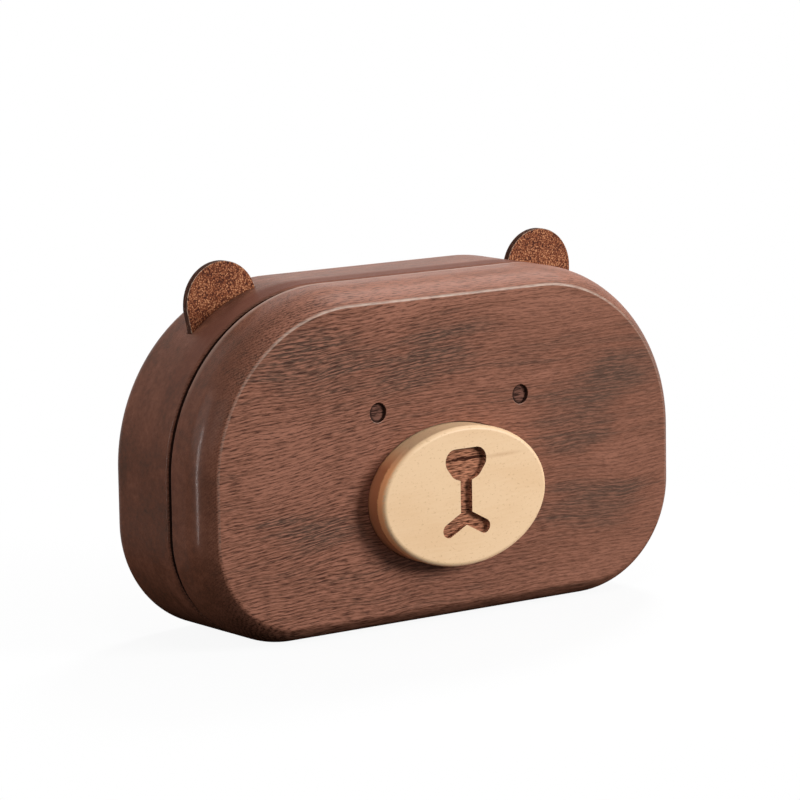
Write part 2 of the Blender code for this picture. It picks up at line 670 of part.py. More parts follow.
def build():
    case = make_shell("case_body", CASE_RIM_Y, CASE_FLOOR_Y, BACK_Y, BACK_ROUND_RADIUS,
                      BACK_ROUND_STEPS, 0.0)
    lid = make_shell("face_lid", LID_RIM_Y, LID_FLOOR_Y, FACE_Y, FACE_ROUND_RADIUS,
                     FACE_ROUND_STEPS, FACE_PLANED_OFF)
    make_muzzle(lid)
    make_eyes(lid)
    make_ears(case)
    bevel_rims_below_pins(case, lid)
    make_hinges(case, lid)
    make_magnets(case, lid)
    make_lining("case_liner", CASE_FLOOR_Y, CASE_RIM_Y)
    make_lining("lid_lining", LID_FLOOR_Y, LID_RIM_Y)
    make_dividers()
    make_ring_rolls()
    make_mirror()
    hang_lid_on_hinge()


build()
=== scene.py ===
"""Studio scene of a walnut travel jewelry box in the shape of a bear's head.

Each sub-assembly is a class that holds its sizes, models its pieces with Blender's own tools
and dresses them in their finishes. Lengths are in metres and the frame is the part's own: X
runs across the face, the face looks towards -Y, and Z is up.
"""

import logging
import math
from collections.abc import Callable
from dataclasses import dataclass
from enum import Enum

import bmesh
import bpy
from mathutils import Matrix, Vector


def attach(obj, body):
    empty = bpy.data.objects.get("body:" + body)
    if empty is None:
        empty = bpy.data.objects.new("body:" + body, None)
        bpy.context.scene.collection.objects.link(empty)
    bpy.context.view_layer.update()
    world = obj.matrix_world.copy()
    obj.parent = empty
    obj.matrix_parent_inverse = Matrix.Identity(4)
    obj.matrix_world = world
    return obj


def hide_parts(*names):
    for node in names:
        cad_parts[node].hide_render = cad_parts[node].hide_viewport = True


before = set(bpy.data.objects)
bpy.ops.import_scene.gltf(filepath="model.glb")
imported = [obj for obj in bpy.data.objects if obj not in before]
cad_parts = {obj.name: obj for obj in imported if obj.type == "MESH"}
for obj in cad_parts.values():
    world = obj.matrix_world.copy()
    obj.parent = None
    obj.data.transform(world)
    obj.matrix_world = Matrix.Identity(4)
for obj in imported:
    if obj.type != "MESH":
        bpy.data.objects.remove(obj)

log = logging.getLogger("jewelry_box")

Colour = tuple[float, float, float]
Point = tuple[float, float, float]
Circle = tuple[float, float, float]
Edge = bmesh.types.BMEdge
Face = bmesh.types.BMFace
Material = bpy.types.Material
Socket = bpy.types.NodeSocket

SAME = 1e-6  # Points nearer than this are one point.
FLUSH = 2e-6  # A vertex nearer than this to a plane lies in it.
SLIVER = 1e-5  # A step that is too small to show.
OVERRUN = 0.0020  # How far a cutter reaches past the face that it cuts.


class Body(Enum):
    """The two bodies that the hinge joins, with the way each lies from the seam along Y."""

    CASE = "case"
    LID = "lid"

    @property
    def way(self) -> int:
        """1 behind the seam and -1 in front of it."""
        return 1 if self is Body.CASE else -1


class Side(Enum):
    """The box's left and right, as seen from the front."""

    LEFT = "left"
    RIGHT = "right"

    @property
    def sign(self) -> int:
        """The side's sign along X."""
        return -1 if self is Side.LEFT else 1


class Slot(Enum):
    """The record's material slots."""

    WALNUT = "walnut"
    BEECH = "beech"
    LEATHER = "leather"
    BRASS = "brass"
    NICKEL = "nickel"
    VELVET = "velvet"
    MIRROR = "mirror_glass"


class Element(Enum):
    """What edit mode selects."""

    VERT = "VERT"
    EDGE = "EDGE"
    FACE = "FACE"


class Axis(Enum):
    """The turn that lays a primitive's own axis along one of the frame's axes."""

    X = (0.0, math.pi / 2, 0.0)
    Y = (math.pi / 2, 0.0, 0.0)


@dataclass(frozen=True)
class HeadForm:
    """The sizes that the box's pieces share."""

    width: float = 0.1200
    height: float = 0.0700
    top_radius: float = 0.0360
    bottom_radius: float = 0.0230
    face_y: float = -0.0140
    seam_y: float = -0.0017
    back_y: float = 0.0190
    seam_gap: float = 0.0003
    groove_width: float = 0.0014
    side_wall: float = 0.0070
    hinge_rail: float = 0.0085
    face_wall: float = 0.0045
    back_wall: float = 0.0040
    lining: float = 0.0012
    lining_drop: float = 0.0010
    fit_gap: float = 0.0003
    snug_gap: float = 0.0002
    pin_height: float = 0.0016

    @property
    def turn_x(self) -> float:
        """How far from the middle the top corners' centres lie."""
        return self.width / 2 - self.top_radius

    @property
    def turn_z(self) -> float:
        """The height of the top corners' centres."""
        return self.height - self.top_radius

    @property
    def lined_radius(self) -> float:
        """The lined hollow's radius in its top corners."""
        return self.top_radius - self.side_wall - self.fit_gap - self.lining

    @property
    def lined_foot(self) -> float:
        """The height at which what stands in the lined hollow begins."""
        return self.hinge_rail + 2 * self.fit_gap + self.lining

    @property
    def lined_back(self) -> float:
        """The depth at which what stands in the case's lined hollow ends."""
        return self.lining_y(Body.CASE) - self.fit_gap

    def rim_y(self, body: Body) -> float:
        """The plane of a shell's rim."""
        return self.seam_y + body.way * self.seam_gap / 2

    def lip_y(self, body: Body) -> float:
        """The plane of a shell's outer lip, which the rebate sets back from its rim."""
        return self.seam_y + body.way * self.groove_width / 2

    def floor_y(self, body: Body) -> float:
        """The plane of a hollow's floor."""
        case = body is Body.CASE
        return self.back_y - self.back_wall if case else self.face_y + self.face_wall

    def lining_y(self, body: Body) -> float:
        """The plane of a lining's upper face."""
        return self.floor_y(body) - body.way * (self.fit_gap + self.lining)

    def lined_top(self, across: float) -> float:
        """How high the lined hollow reaches at a distance from the middle along X."""
        beyond = max(0.0, abs(across) - self.turn_x)
        return self.turn_z + math.sqrt(self.lined_radius**2 - beyond**2)

    def lined_reach(self, height: float) -> float:
        """How far the lined hollow reaches from the middle at a height in its upper half."""
        rise = max(0.0, height - self.turn_z)
        return self.turn_x + math.sqrt(self.lined_radius**2 - rise**2)


FORM = HeadForm()


def deselect_all() -> None:
    """Leaves nothing selected, so that an operator acts on the next piece alone."""
    bpy.ops.object.select_all(action="DESELECT")


def in_plane(face: Face, y: float) -> bool:
    """Whether a face lies in an upright plane across the box."""
    return all(abs(vertex.co.y - y) < FLUSH for vertex in face.verts)


def at_one_x(edge: Edge) -> bool:
    """Whether both ends of an edge lie at the same place along X."""
    return abs(edge.verts[0].co.x - edge.verts[1].co.x) < SAME


class Workpiece:
    """A mesh on the bench, shaped by Blender's own tools.

    Used in a with statement it is open in edit mode, and pick() then selects what the next
    operator acts on.
    """

    def __init__(self, obj: bpy.types.Object) -> None:
        """Takes a mesh object at the origin, unturned and unscaled, onto the bench."""
        self.obj = obj

    @classmethod
    def _take(cls, name: str, scale: Point) -> "Workpiece":
        """Names the primitive that was just added and gives its mesh its size and place.

        Args:
            name: The piece's name.
            scale: How much larger than the primitive it is along each axis.

        Returns:
            The piece.
        """
        obj = bpy.context.object
        obj.name = obj.data.name = name
        obj.scale = scale
        bpy.ops.object.transform_apply(location=True, rotation=True, scale=True)
        return cls(obj)

    @classmethod
    def block(cls, name: str, low: Point, high: Point) -> "Workpiece":
        """A block.

        Args:
            name: The piece's name.
            low: Its low corner.
            high: Its high corner.

        Returns:
            The block.
        """
        deselect_all()
        middle = [(a + b) / 2 for a, b in zip(low, high)]
        bpy.ops.mesh.primitive_cube_add(size=1.0, location=middle)
        return cls._take(name, tuple(b - a for a, b in zip(low, high)))

    @classmethod
    def cylinder(cls, name: str, radius: float, length: float, centre: Point, axis: Axis,
                 sides: int, squash: float = 1.0) -> "Workpiece":
        """A round bar centred on a point, oval where it is squashed.

        Args:
            name: The piece's name.
            radius: The bar's radius.
            length: Its length along its axis.
            centre: The middle of the bar.
            axis: The axis that it lies along.
            sides: The number of flat sides that stand for the round.
            squash: The height of an oval bar's section over its width.

        Returns:
            The bar.
        """
        deselect_all()
        bpy.ops.mesh.primitive_cylinder_add(vertices=sides, radius=radius, depth=length,
                                            location=centre, rotation=axis.value)
        return cls._take(name, (1.0, squash, 1.0))

    @classmethod
    def rounded_slab(cls, name: str, half_width: float, low_z: float, high_z: float,
                     radii: tuple[float, float], start_y: float, end_y: float,
                     middle_x: float = 0.0, steps: int = 40) -> "Workpiece":
        """An upright slab with rounded corners, from one depth to another.

        Args:
            name: The piece's name.
            half_width: Half of the slab's width.
            low_z: The height of its foot.
            high_z: The height of its top.
            radii: The radii of its top corners and its bottom corners, 0 for square ones.
            start_y: The depth of its first face.
            end_y: The depth of its second face.
            middle_x: The place of its middle along X.
            steps: The number of flats in each rounded corner.

        Returns:
            The slab, closed on all sides.
        """
        deselect_all()
        bpy.ops.mesh.primitive_plane_add(size=1.0, rotation=Axis.Y.value,
                                         location=(middle_x, start_y, (low_z + high_z) / 2))
        slab = cls._take(name, (2 * half_width, high_z - low_z, 1.0))
        with slab:
            for radius, upper in zip(radii, (True, False)):
                if radius:
                    slab.pick(Element.VERT, lambda v: v.co.z > high_z - SAME if upper
                              else v.co.z < low_z + SAME)
                    bpy.ops.mesh.bevel(offset=radius, segments=steps, affect="VERTICES",
                                       clamp_overlap=False)
            bpy.ops.mesh.select_all(action="SELECT")
            bpy.ops.mesh.remove_doubles(threshold=SAME)
            slab.pick(Element.FACE, lambda face: True)
            slab.extrude(end_y - start_y)
            slab.outwards()
        return slab

    @classmethod
    def inner_slab(cls, name: str, inset: float, start_y: float, end_y: float) -> "Workpiece":
        """A slab of the head's outline, drawn in, and raised for the hinge rail.

        Args:
            name: The piece's name.
            inset: How far the outline is drawn in.
            start_y: The depth of its first face.
            end_y: The depth of its second face.

        Returns:
            The slab.
        """
        low_z = FORM.hinge_rail + inset - FORM.side_wall
        radii = (FORM.top_radius - inset, FORM.bottom_radius - inset)
        return cls.rounded_slab(name, FORM.width / 2 - inset, low_z, FORM.height - inset,
                                radii, start_y, end_y)

    def alone(self) -> None:
        """Selects the piece alone and makes it the active one."""
        deselect_all()
        self.obj.select_set(True)
        bpy.context.view_layer.objects.active = self.obj

    def __enter__(self) -> "Workpiece":
        """Opens the piece in edit mode, alone.

        Returns:
            The piece itself.
        """
        self.alone()
        bpy.ops.object.mode_set(mode="EDIT")
        return self

    def __exit__(self, *reason: object) -> None:
        """Closes edit mode."""
        bpy.ops.object.mode_set(mode="OBJECT")

    def pick(self, element: Element, test: Callable[..., bool]) -> None:
        """Selects what passes a test, and nothing else. The piece is open in edit mode.

        Args:
            element: What the test is put to.
            test: Given one vertex, edge or face, says whether it is wanted.
        """
        bpy.ops.mesh.select_mode(type=element.value)
        bpy.ops.mesh.select_all(action="DESELECT")
        mesh = bmesh.from_edit_mesh(self.obj.data)
        items = {Element.VERT: mesh.verts, Element.EDGE: mesh.edges, Element.FACE: mesh.faces}
        for item in [item for item in items[element] if test(item)]:
            item.select_set(True)
        mesh.select_flush_mode()
        bmesh.update_edit_mesh(self.obj.data)

    def dress(self, test: Callable[[Face], bool]) -> None:
        """Gives the faces that pass a test the piece's second finish.

        Args:
            test: Says whether a face is wanted.
        """
        self.pick(Element.FACE, test)
        self.obj.active_material_index = 1
        bpy.ops.object.material_slot_assign()

    def extrude(self, depth: float) -> None:
        """Extrudes the picked faces along Y."""
        bpy.ops.mesh.extrude_region_move(TRANSFORM_OT_translate={"value": (0.0, depth, 0.0)})

    def resize(self, shares: Point, centre: Point) -> None:
        """Scales what is picked about a point."""
        bpy.ops.transform.resize(value=shares, center_override=centre)

    def round_picked(self, width: float, segments: int) -> None:
        """Rounds the picked edges."""
        bpy.ops.mesh.bevel(offset=width, segments=segments, profile=0.5, affect="EDGES",
                           clamp_overlap=False)

    def round_rim(self, y: float, width: float, segments: int) -> None:
        """Rounds the edges between the faces in an upright plane and the faces beside them.

        Args:
            y: The plane's depth.
            width: How far the rounding reaches from the edges.
            segments: The number of flats in it.
        """
        def on_rim(edge: Edge) -> bool:
            """Whether just one of the edge's two faces lies in the plane."""
            flat = [in_plane(face, y) for face in edge.link_faces]
            return len(flat) == 2 and flat[0] != flat[1]
        self.pick(Element.EDGE, on_rim)
        self.round_picked(width, segments)

    def saw(self, point: Point, normal: Point) -> None:
        """Saws the whole piece through a plane and fills the cut.

        Args:
            point: A point of the plane.
            normal: The way to the side that is dropped.
        """
        bpy.ops.mesh.select_all(action="SELECT")
        bpy.ops.mesh.bisect(plane_co=point, plane_no=normal, use_fill=True, clear_outer=True,
                            threshold=SAME)

    def outwards(self) -> None:
        """Turns every face outwards."""
        bpy.ops.mesh.select_all(action="SELECT")
        bpy.ops.mesh.normals_make_consistent(inside=False)

    def apply(self, kind: str, **settings: object) -> None:
        """Adds a modifier with its settings, and applies it.

        Args:
            kind: Blender's name for the kind of modifier.
            **settings: The modifier's settings.
        """
        self.alone()
        modifier = self.obj.modifiers.new(kind.lower(), kind)
        for name, value in settings.items():
            setattr(modifier, name, value)
        bpy.ops.object.modifier_apply(modifier=modifier.name)

    def ease(self, width: float, segments: int, angle: float = 60.0) -> None:
        """Rounds every edge that turns by more than an angle in degrees."""
        self.apply("BEVEL", width=width, segments=segments, limit_method="ANGLE",
                   angle_limit=math.radians(angle))

    def combine(self, other: "Workpiece", operation: str = "DIFFERENCE") -> None:
        """Cuts the piece with another, or joins the other on, which uses the other up."""
        self.apply("BOOLEAN", operation=operation, solver="EXACT", object=other.obj)
        other.discard()

    def copy(self, name: str, across: float) -> "Workpiece":
        """A copy with a mesh of its own, moved along X.

        Args:
            name: The copy's name.
            across: How far it is moved.

        Returns:
            The copy.
        """
        obj = self.obj.copy()
        obj.data = self.obj.data.copy()
        obj.name = obj.data.name = name
        bpy.context.scene.collection.objects.link(obj)
        obj.data.transform(Matrix.Translation((across, 0.0, 0.0)))
        return Workpiece(obj)

    def discard(self) -> None:
        """Takes the piece off the bench."""
        mesh = self.obj.data
        bpy.data.objects.remove(self.obj, do_unlink=True)
        bpy.data.meshes.remove(mesh)

    def smooth(self, angle: float = 30.0) -> None:
        """Shades the piece smooth, with its flats kept flat.

        Args:
            angle: How far an edge may turn and still be smooth, in degrees.
        """
        self.alone()
        bpy.ops.object.shade_smooth_by_angle(angle=math.radians(angle))
        self.apply("WEIGHTED_NORMAL", mode="FACE_AREA", keep_sharp=True, weight=80)

    def present(self, body: Body, slot: Slot, *nodes: str) -> None:
        """Hands the finished piece to the part.

        Args:
            body: The body that it moves with.
            slot: Not used.
            *nodes: The nodes that it stands for.
        """
        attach(self.obj, body.value)
        if nodes:
            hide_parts(*nodes)
        log.info("%s: %d faces, on the %s", self.obj.name, len(self.obj.data.polygons), body.value)

    def finish(self, body: Body, slot: Slot, node: str, finishes: list[Material],
               trim: Callable[[Face], bool] | None = None, angle: float = 30.0) -> None:
        """Dresses the piece, shades it and hands it to the part.

        Args:
            body: The body that it moves with.
            slot: Passed on to present, which does not use it.
            node: The node that it stands for.
            finishes: Its finishes. The first covers it.
            trim: Says whether a face takes the second finish.
            angle: How far an edge may turn and still be shaded smooth, in degrees.
        """
        for material in finishes:
            self.obj.data.materials.append(material)
        if trim:
            with self:
                self.dress(trim)
        self.smooth(angle)
        self.present(body, slot, node)


def rgba(value: object) -> object:
    """A colour with its alpha, and anything else as it is."""
    return (*value, 1.0) if isinstance(value, tuple) else value


class Recipe:
    """A material's nodes, with a short way to add and join them."""

    def __init__(self, name: str, **constants: object) -> None:
        """Starts a material with one principled shader.

        Args:
            name: The material's name.
            **constants: Values of the shader's sockets, with spaces written as underscores.
        """
        self.material = bpy.data.materials.new(name)
        self.material.use_nodes = True
        self.nodes = self.material.node_tree.nodes
        self.links = self.material.node_tree.links
        self.shader = self.nodes["Principled BSDF"]
        for socket, value in constants.items():
            self.shader.inputs[socket.replace("_", " ")].default_value = rgba(value)

    def add(self, kind: str, inputs: dict[int | str, object] | None = None,
            **settings: object) -> bpy.types.Node:
        """Adds a node.

        Args:
            kind: The node's type, without its ShaderNode prefix.
            inputs: Its inputs by name or number, each a value or another node's output.
            **settings: The node's settings.

        Returns:
            The node.
        """
        node = self.nodes.new("ShaderNode" + kind)
        for name, value in settings.items():
            setattr(node, name, value)
        for key, value in (inputs or {}).items():
            if isinstance(value, Socket):
                self.links.new(value, node.inputs[key])
            else:
                node.inputs[key].default_value = value
        return node

    def read(self, kind: str) -> Socket:
        """The surface's coordinates of a kind, Object or Normal."""
        return self.add("TexCoord").outputs[kind]

    def split(self, kind: str) -> list[Socket]:
        """The X, Y and Z of the surface's coordinates of a kind."""
        return list(self.add("SeparateXYZ", {0: self.read(kind)}).outputs)

    def place(self, scale: Point, turn: Point = (0.0, 0.0, 0.0),
              shift: Point = (0.0, 0.0, 0.0)) -> Socket:
        """The object's own coordinates in millimetres, scaled and turned.

        Args:
            scale: How many pattern units there are in a millimetre along each axis.
            turn: The pattern's turn, in degrees.
            shift: The pattern's shift, in its own units.

        Returns:
            The vector for a texture.
        """
        turned = self.add("Mapping", {"Vector": self.read("Object"),
                                      "Rotation": [math.radians(a) for a in turn]})
        scaled = self.add("Mapping", {"Vector": turned.outputs[0], "Location": shift,
                                      "Scale": [1000 * s for s in scale]})
        return scaled.outputs[0]

    def noise(self, vector: Socket, detail: float = 3.0, roughness: float = 0.5,
              distortion: float = 0.0) -> Socket:
        """A noise's value between 0 and 1."""
        return self.add("TexNoise", {"Vector": vector, "Scale": 1.0, "Detail": detail,
                                     "Roughness": roughness, "Distortion": distortion}).outputs[0]

    def mottle(self, scale: Point, detail: float = 3.0, roughness: float = 0.5,
               distortion: float = 0.0) -> Socket:
        """A noise with so many pattern units in a millimetre of the object along each axis."""
        return self.noise(self.place(scale), detail, roughness, distortion)

    def math(self, operation: str, first: object, second: object = 0.0,
             third: object = 0.5, clamp: bool = False) -> Socket:
        """One sum on one, two or three values."""
        return self.add("Math", {0: first, 1: second, 2: third}, operation=operation,
                        use_clamp=clamp).outputs[0]

    def times(self, first: object, second: object) -> Socket:
        """One value times another."""
        return self.math("MULTIPLY", first, second)

    def plus(self, first: object, second: object, clamp: bool = False) -> Socket:
        """One value and another."""
        return self.math("ADD", first, second, clamp=clamp)

    def minus(self, first: object, second: object, clamp: bool = False) -> Socket:
        """One value less another."""
        return self.math("SUBTRACT", first, second, clamp=clamp)

    def span(self, value: Socket, low: float, high: float, start: float = 0.0,
             end: float = 1.0, curve: str = "LINEAR") -> Socket:
        """What a value gives that runs from start at low to end at high, and no further."""
        return self.add("MapRange", {0: value, 1: low, 2: high, 3: start, 4: end},
                        interpolation_type=curve).outputs[0]

    def ramp(self, value: Socket, *stops: tuple[float, object]) -> Socket:
        """Turns a value into a colour or a grey.

        Args:
            value: The value that is looked up.
            *stops: Each a place from 0 to 1, and a colour or a grey.

        Returns:
            The colour.
        """
        ramp = self.add("ValToRGB", {0: value})
        elements = ramp.color_ramp.elements
        elements[0].position, elements[1].position = stops[0][0], stops[-1][0]
        for at, _ in stops[1:-1]:
            elements.new(at)
        for element, (_, shade) in zip(elements, stops):
            element.color = rgba((shade,) * 3 if isinstance(shade, float) else shade)
        return ramp.outputs[0]

    def spot(self, centre: Point, reach: Point, tilt: float = 0.0,
             vector: Socket | None = None) -> Socket:
        """A soft round patch: 1 in its middle and 0 from its reach outwards.

        Args:
            centre: Its middle, in millimetres.
            reach: How far it reaches along each axis, in millimetres.
            tilt: How far it rises to the right, in degrees.
            vector: The coordinates that it lies in, in metres, the object's own if none.

        Returns:
            The patch's strength.
        """
        placed = self.add("Mapping", {"Vector": vector or self.read("Object"),
                                      "Location": [c / 1000 for c in centre],
                                      "Rotation": (0.0, -math.radians(tilt), 0.0),
                                      "Scale": [s / 1000 for s in reach]}, vector_type="TEXTURE")
        return self.add("TexGradient", {0: placed.outputs[0]},
                        gradient_type="SPHERICAL").outputs[1]

    def mix(self, amount: object, first: object, second: object, blend: str = "MIX") -> Socket:
        """Mixes two colours."""
        return self.add("Mix", {0: amount, 6: rgba(first), 7: rgba(second)}, data_type="RGBA",
                        blend_type=blend).outputs[2]

    def finish(self, colour: Socket, roughness: Socket, height: Socket, depth: float,
               strength: float) -> Material:
        """Joins colour, roughness and relief to the shader.

        Args:
            colour: The base colour.
            roughness: The roughness.
            height: The relief, from 0 to 1.
            depth: The relief's depth in metres.
            strength: How much of the relief shows.

        Returns:
            The material.
        """
        bump = self.add("Bump", {"Height": height, "Distance": depth, "Strength": strength})
        for source, socket in ((colour, "Base Color"), (roughness, "Roughness"),
                               (bump.outputs[0], "Normal")):
            self.links.new(source, self.shader.inputs[socket])
        return self.material


@dataclass(frozen=True)
class Cloud:
    """A soft patch in the walnut's figure, in millimetres, darker or lighter than the rest."""

    x: float
    z: float
    half_long: float
    half_high: float
    tilt: float
    tone: float


FACE_CLOUDS = (
    Cloud(-33.0, 57.0, 21.0, 9.0, -6.0, -0.27),
    Cloud(-3.0, 55.0, 24.0, 7.0, 22.0, -0.27),
    Cloud(38.0, 44.0, 26.0, 7.0, 14.0, -0.26),
    Cloud(31.0, 34.0, 17.0, 6.0, -8.0, -0.20),
    Cloud(-40.0, 37.0, 17.0, 12.0, 0.0, 0.19),
    Cloud(-34.0, 23.0, 22.0, 5.0, -10.0, -0.24),
    Cloud(-22.0, 36.0, 9.0, 9.0, 0.0, 0.16),
    Cloud(-14.0, 63.0, 12.0, 6.0, 18.0, 0.16),
    Cloud(38.0, 20.0, 19.0, 7.0, -5.0, -0.20),
    Cloud(33.0, 60.0, 22.0, 6.0, 0.0, 0.11),
    Cloud(5.0, 70.0, 54.0, 11.0, 0.0, 0.26),
    Cloud(48.0, 30.0, 15.0, 8.0, 0.0, 0.12),
)


@dataclass(frozen=True)
class Walnut:
    """Oiled walnut: soft clouds, long wavy lines and fine dark dashes along a drifting grain."""

    name: str
    # Depths of the painted band beside the seam, and its colour.
    painted_seam_band: tuple[float, float]
    painted_seam_colour: Colour
    shift: Point = (0.0, 0.0, 0.0)
    rise: float = 1.8
    arch: float = 0.50
    clouds: tuple[Cloud, ...] = ()
    wear_and_highlight: float = 0.0
    marked: float = 1.0
    dusk: Colour = (0.108, 0.060, 0.042)
    middle: Colour = (0.206, 0.086, 0.054)
    light: Colour = (0.310, 0.134, 0.088)
    pore: Colour = (0.035, 0.012, 0.008)
    # The pale colour of the painted crease highlight, with some real wear.
    worn_highlight: Colour = (0.560, 0.430, 0.350)
    gloss: float = 0.07
    coat: float = 0.06

    def make(self) -> Material:
        """Builds the material.

        Returns:
            The material.
        """
        r = Recipe(self.name, Coat_Roughness=0.17)
        grain = self._grain(r)
        level, upward = self._turned(r)
        colour = r.ramp(self._figure(r, grain), (0.20, self.dusk), (0.50, self.middle),
                        (0.80, self.light))
        fine = r.noise(self._along(r, grain, (0.9, 8.0, 8.0)), 1.0)
        dash = self._dash(r, grain)
        dashes = r.times(r.ramp(dash, (0.36, 1.0), (0.48, 0.0)), level)
        fibres = r.times(r.ramp(dash, (0.50, 0.0), (0.62, 1.0)), level)
        cells = r.add("TexVoronoi", {"Vector": self._along(r, grain, (0.16, 1.9, 1.9)),
                                     "Scale": 1.0}).outputs["Distance"]
        pores = r.times(r.ramp(cells, (0.06, 1.0), (0.18, 0.0)), level)
        hollows = r.minus(0.60, fine, clamp=True)
        for mark, share, shade in ((hollows, 1.2, self.pore), (fibres, 0.85, self.light),
                                   (dashes, 0.78, self.pore), (pores, 0.30, self.pore)):
            colour = r.mix(r.times(mark, share), colour, shade)
        # Painted band beside the seam: shade on the case, highlight on the lid, on upward faces
        # only.
        painted_seam_band = self._painted_seam_band(r, upward)
        colour = r.mix(painted_seam_band, self._end_grain(r, colour), self.painted_seam_colour)
        # Painted highlight along the creases and rims, with some real wear.
        if self.wear_and_highlight:
            colour = r.mix(self._worn_and_highlit(r), colour, self.worn_highlight)
        clean = r.minus(1.0, painted_seam_band)
        gloss = r.span(upward, -0.3, 0.7, 0.0, self.gloss)
        coat = r.span(upward, -0.6, 0.0, 0.0, self.coat)
        for source, socket in ((gloss, "Specular IOR Level"), (coat, "Coat Weight")):
            r.links.new(r.times(source, clean), r.shader.inputs[socket])
        relief = r.minus(fine, r.plus(dashes, pores))
        return r.finish(colour, r.ramp(fine, (0.3, 0.36), (0.7, 0.50)), relief, 0.00004, 0.6)

    def _turned(self, r: Recipe) -> tuple[Socket, Socket]:
        """What depends on the way the surface looks, and on how far right it lies.

        Args:
            r: The material's recipe.

        Returns:
            How strongly the fibres show, less on the end grain, and how far it faces up.
        """
        normal = r.split("Normal")
        across = r.span(r.math("ABSOLUTE", normal[0]), 0.35, 0.85, 1.0, 0.15)
        finer = r.span(r.split("Object")[0], -0.030, 0.045, 1.0, 0.48)
        return r.times(across, r.times(finer, self.marked)), normal[2]

    def _grain(self, r: Recipe) -> Socket:
        """Coordinates whose X follows the grain, which drifts, arches and rises to the right.

        Args:
            r: The material's recipe.

        Returns:
            The coordinates, in metres.
        """
        drift = r.noise(r.place((0.020, 0.035, 0.035), shift=self.shift), 2.0)
        x = r.split("Object")[0]
        arch = r.times(r.times(x, x), self.arch)
        wander = r.math("MULTIPLY_ADD", r.minus(drift, 0.5), 0.008, arch)
        lift = r.add("CombineXYZ", {2: wander}).outputs[0]
        bent = r.add("VectorMath", {0: r.read("Object"), 1: lift}, operation="ADD").outputs[0]
        return r.add("Mapping", {"Vector": bent,
                                 "Rotation": (0.0, math.radians(self.rise), 0.0)}).outputs[0]

    def _along(self, r: Recipe, grain: Socket, scale: Point, turn: float = 0.0) -> Socket:
        """The grain's coordinates in millimetres, scaled and turned about the grain.

        Args:
            r: The material's recipe.
            grain: The grain's coordinates.
            scale: How many pattern units there are in a millimetre along each axis.
            turn: The turn, in degrees.

        Returns:
            The vector for a texture.
        """
        return r.add("Mapping", {"Vector": grain, "Location": self.shift,
                                 "Rotation": (math.radians(turn), 0.0, 0.0),
                                 "Scale": [1000 * s for s in scale]}).outputs[0]

    def _dash(self, r: Recipe, grain: Socket) -> Socket:
        """The pattern whose lows are dark dashes and whose highs are light fibres.

        Args:
            r: The material's recipe.
            grain: The grain's coordinates.

        Returns:
            The pattern's value.
        """
        long = r.noise(self._along(r, grain, (0.36, 5.0, 5.0)), 2.0, 0.6)
        wave = r.add("TexWave", {"Vector": self._along(r, grain, (0.12, 0.60, 0.60), 45.0),
                                 "Scale": 1.0, "Distortion": 5.0, "Detail": 2.0,
                                 "Detail Scale": 1.8, "Detail Roughness": 0.6},
                     bands_direction="Z").outputs["Fac"]
        return r.math("MULTIPLY_ADD", wave, 0.14, r.times(long, 0.86))

    def _figure(self, r: Recipe, grain: Socket) -> Socket:
        """The broad figure, from dusky at 0 to light at 1.

        Args:
            r: The material's recipe.
            grain: The grain's coordinates.

        Returns:
            The figure's value.
        """
        tone = 0.5
        for scale, detail, roughness, distortion, share in (
                ((0.030, 0.085, 0.085), 3.0, 0.55, 0.7, 0.55 if self.clouds else 0.9),
                ((0.020, 0.50, 0.50), 2.0, 0.5, 0.0, 0.45),
                ((0.045, 1.1, 1.1), 2.0, 0.6, 0.0, 0.55)):
            bands = r.noise(self._along(r, grain, scale), detail, roughness, distortion)
            tone = r.plus(tone, r.times(r.minus(bands, 0.5), share))
        warp = r.add("TexNoise", {"Vector": r.place((0.07, 0.07, 0.12)), "Scale": 1.0,
                                  "Detail": 3.0}).outputs["Color"]
        evened = r.add("VectorMath", {0: warp, 1: (0.5, 0.5, 0.5)}, operation="SUBTRACT")
        warped = r.add("VectorMath", {0: evened.outputs[0], 1: (0.016, 0.016, 0.010),
                                      2: r.read("Object")}, operation="MULTIPLY_ADD").outputs[0]
        for cloud in self.clouds:
            patch = r.spot((cloud.x, 1000 * FORM.face_y, cloud.z),
                           (cloud.half_long, 200.0, cloud.half_high), cloud.tilt, warped)
            strength = r.span(patch, 0.0, 0.75, curve="SMOOTHSTEP")
            tone = r.plus(tone, r.times(strength, cloud.tone))
        return tone

    def _end_grain(self, r: Recipe, colour: Socket) -> Socket:
        """Darkens and reddens the colour where the surface turns across the grain."""
        across = r.math("POWER", r.math("ABSOLUTE", r.split("Normal")[0]), 1.5)
        return r.mix(1.0, colour, r.mix(across, (1.0, 1.0, 1.0), (0.64, 0.54, 0.47)), "MULTIPLY")

    def _painted_seam_band(self, r: Recipe, upward: Socket) -> Socket:
        """The band beside the seam on top: painted shade behind it on the case, partly dark grain,
        and a painted pale highlight before it on the lid.
        """
        near = r.span(r.split("Object")[1], *self.painted_seam_band, 1.0, 0.0, "SMOOTHSTEP")
        return r.times(near, r.span(upward, 0.35, 0.90, 0.0, 0.85))

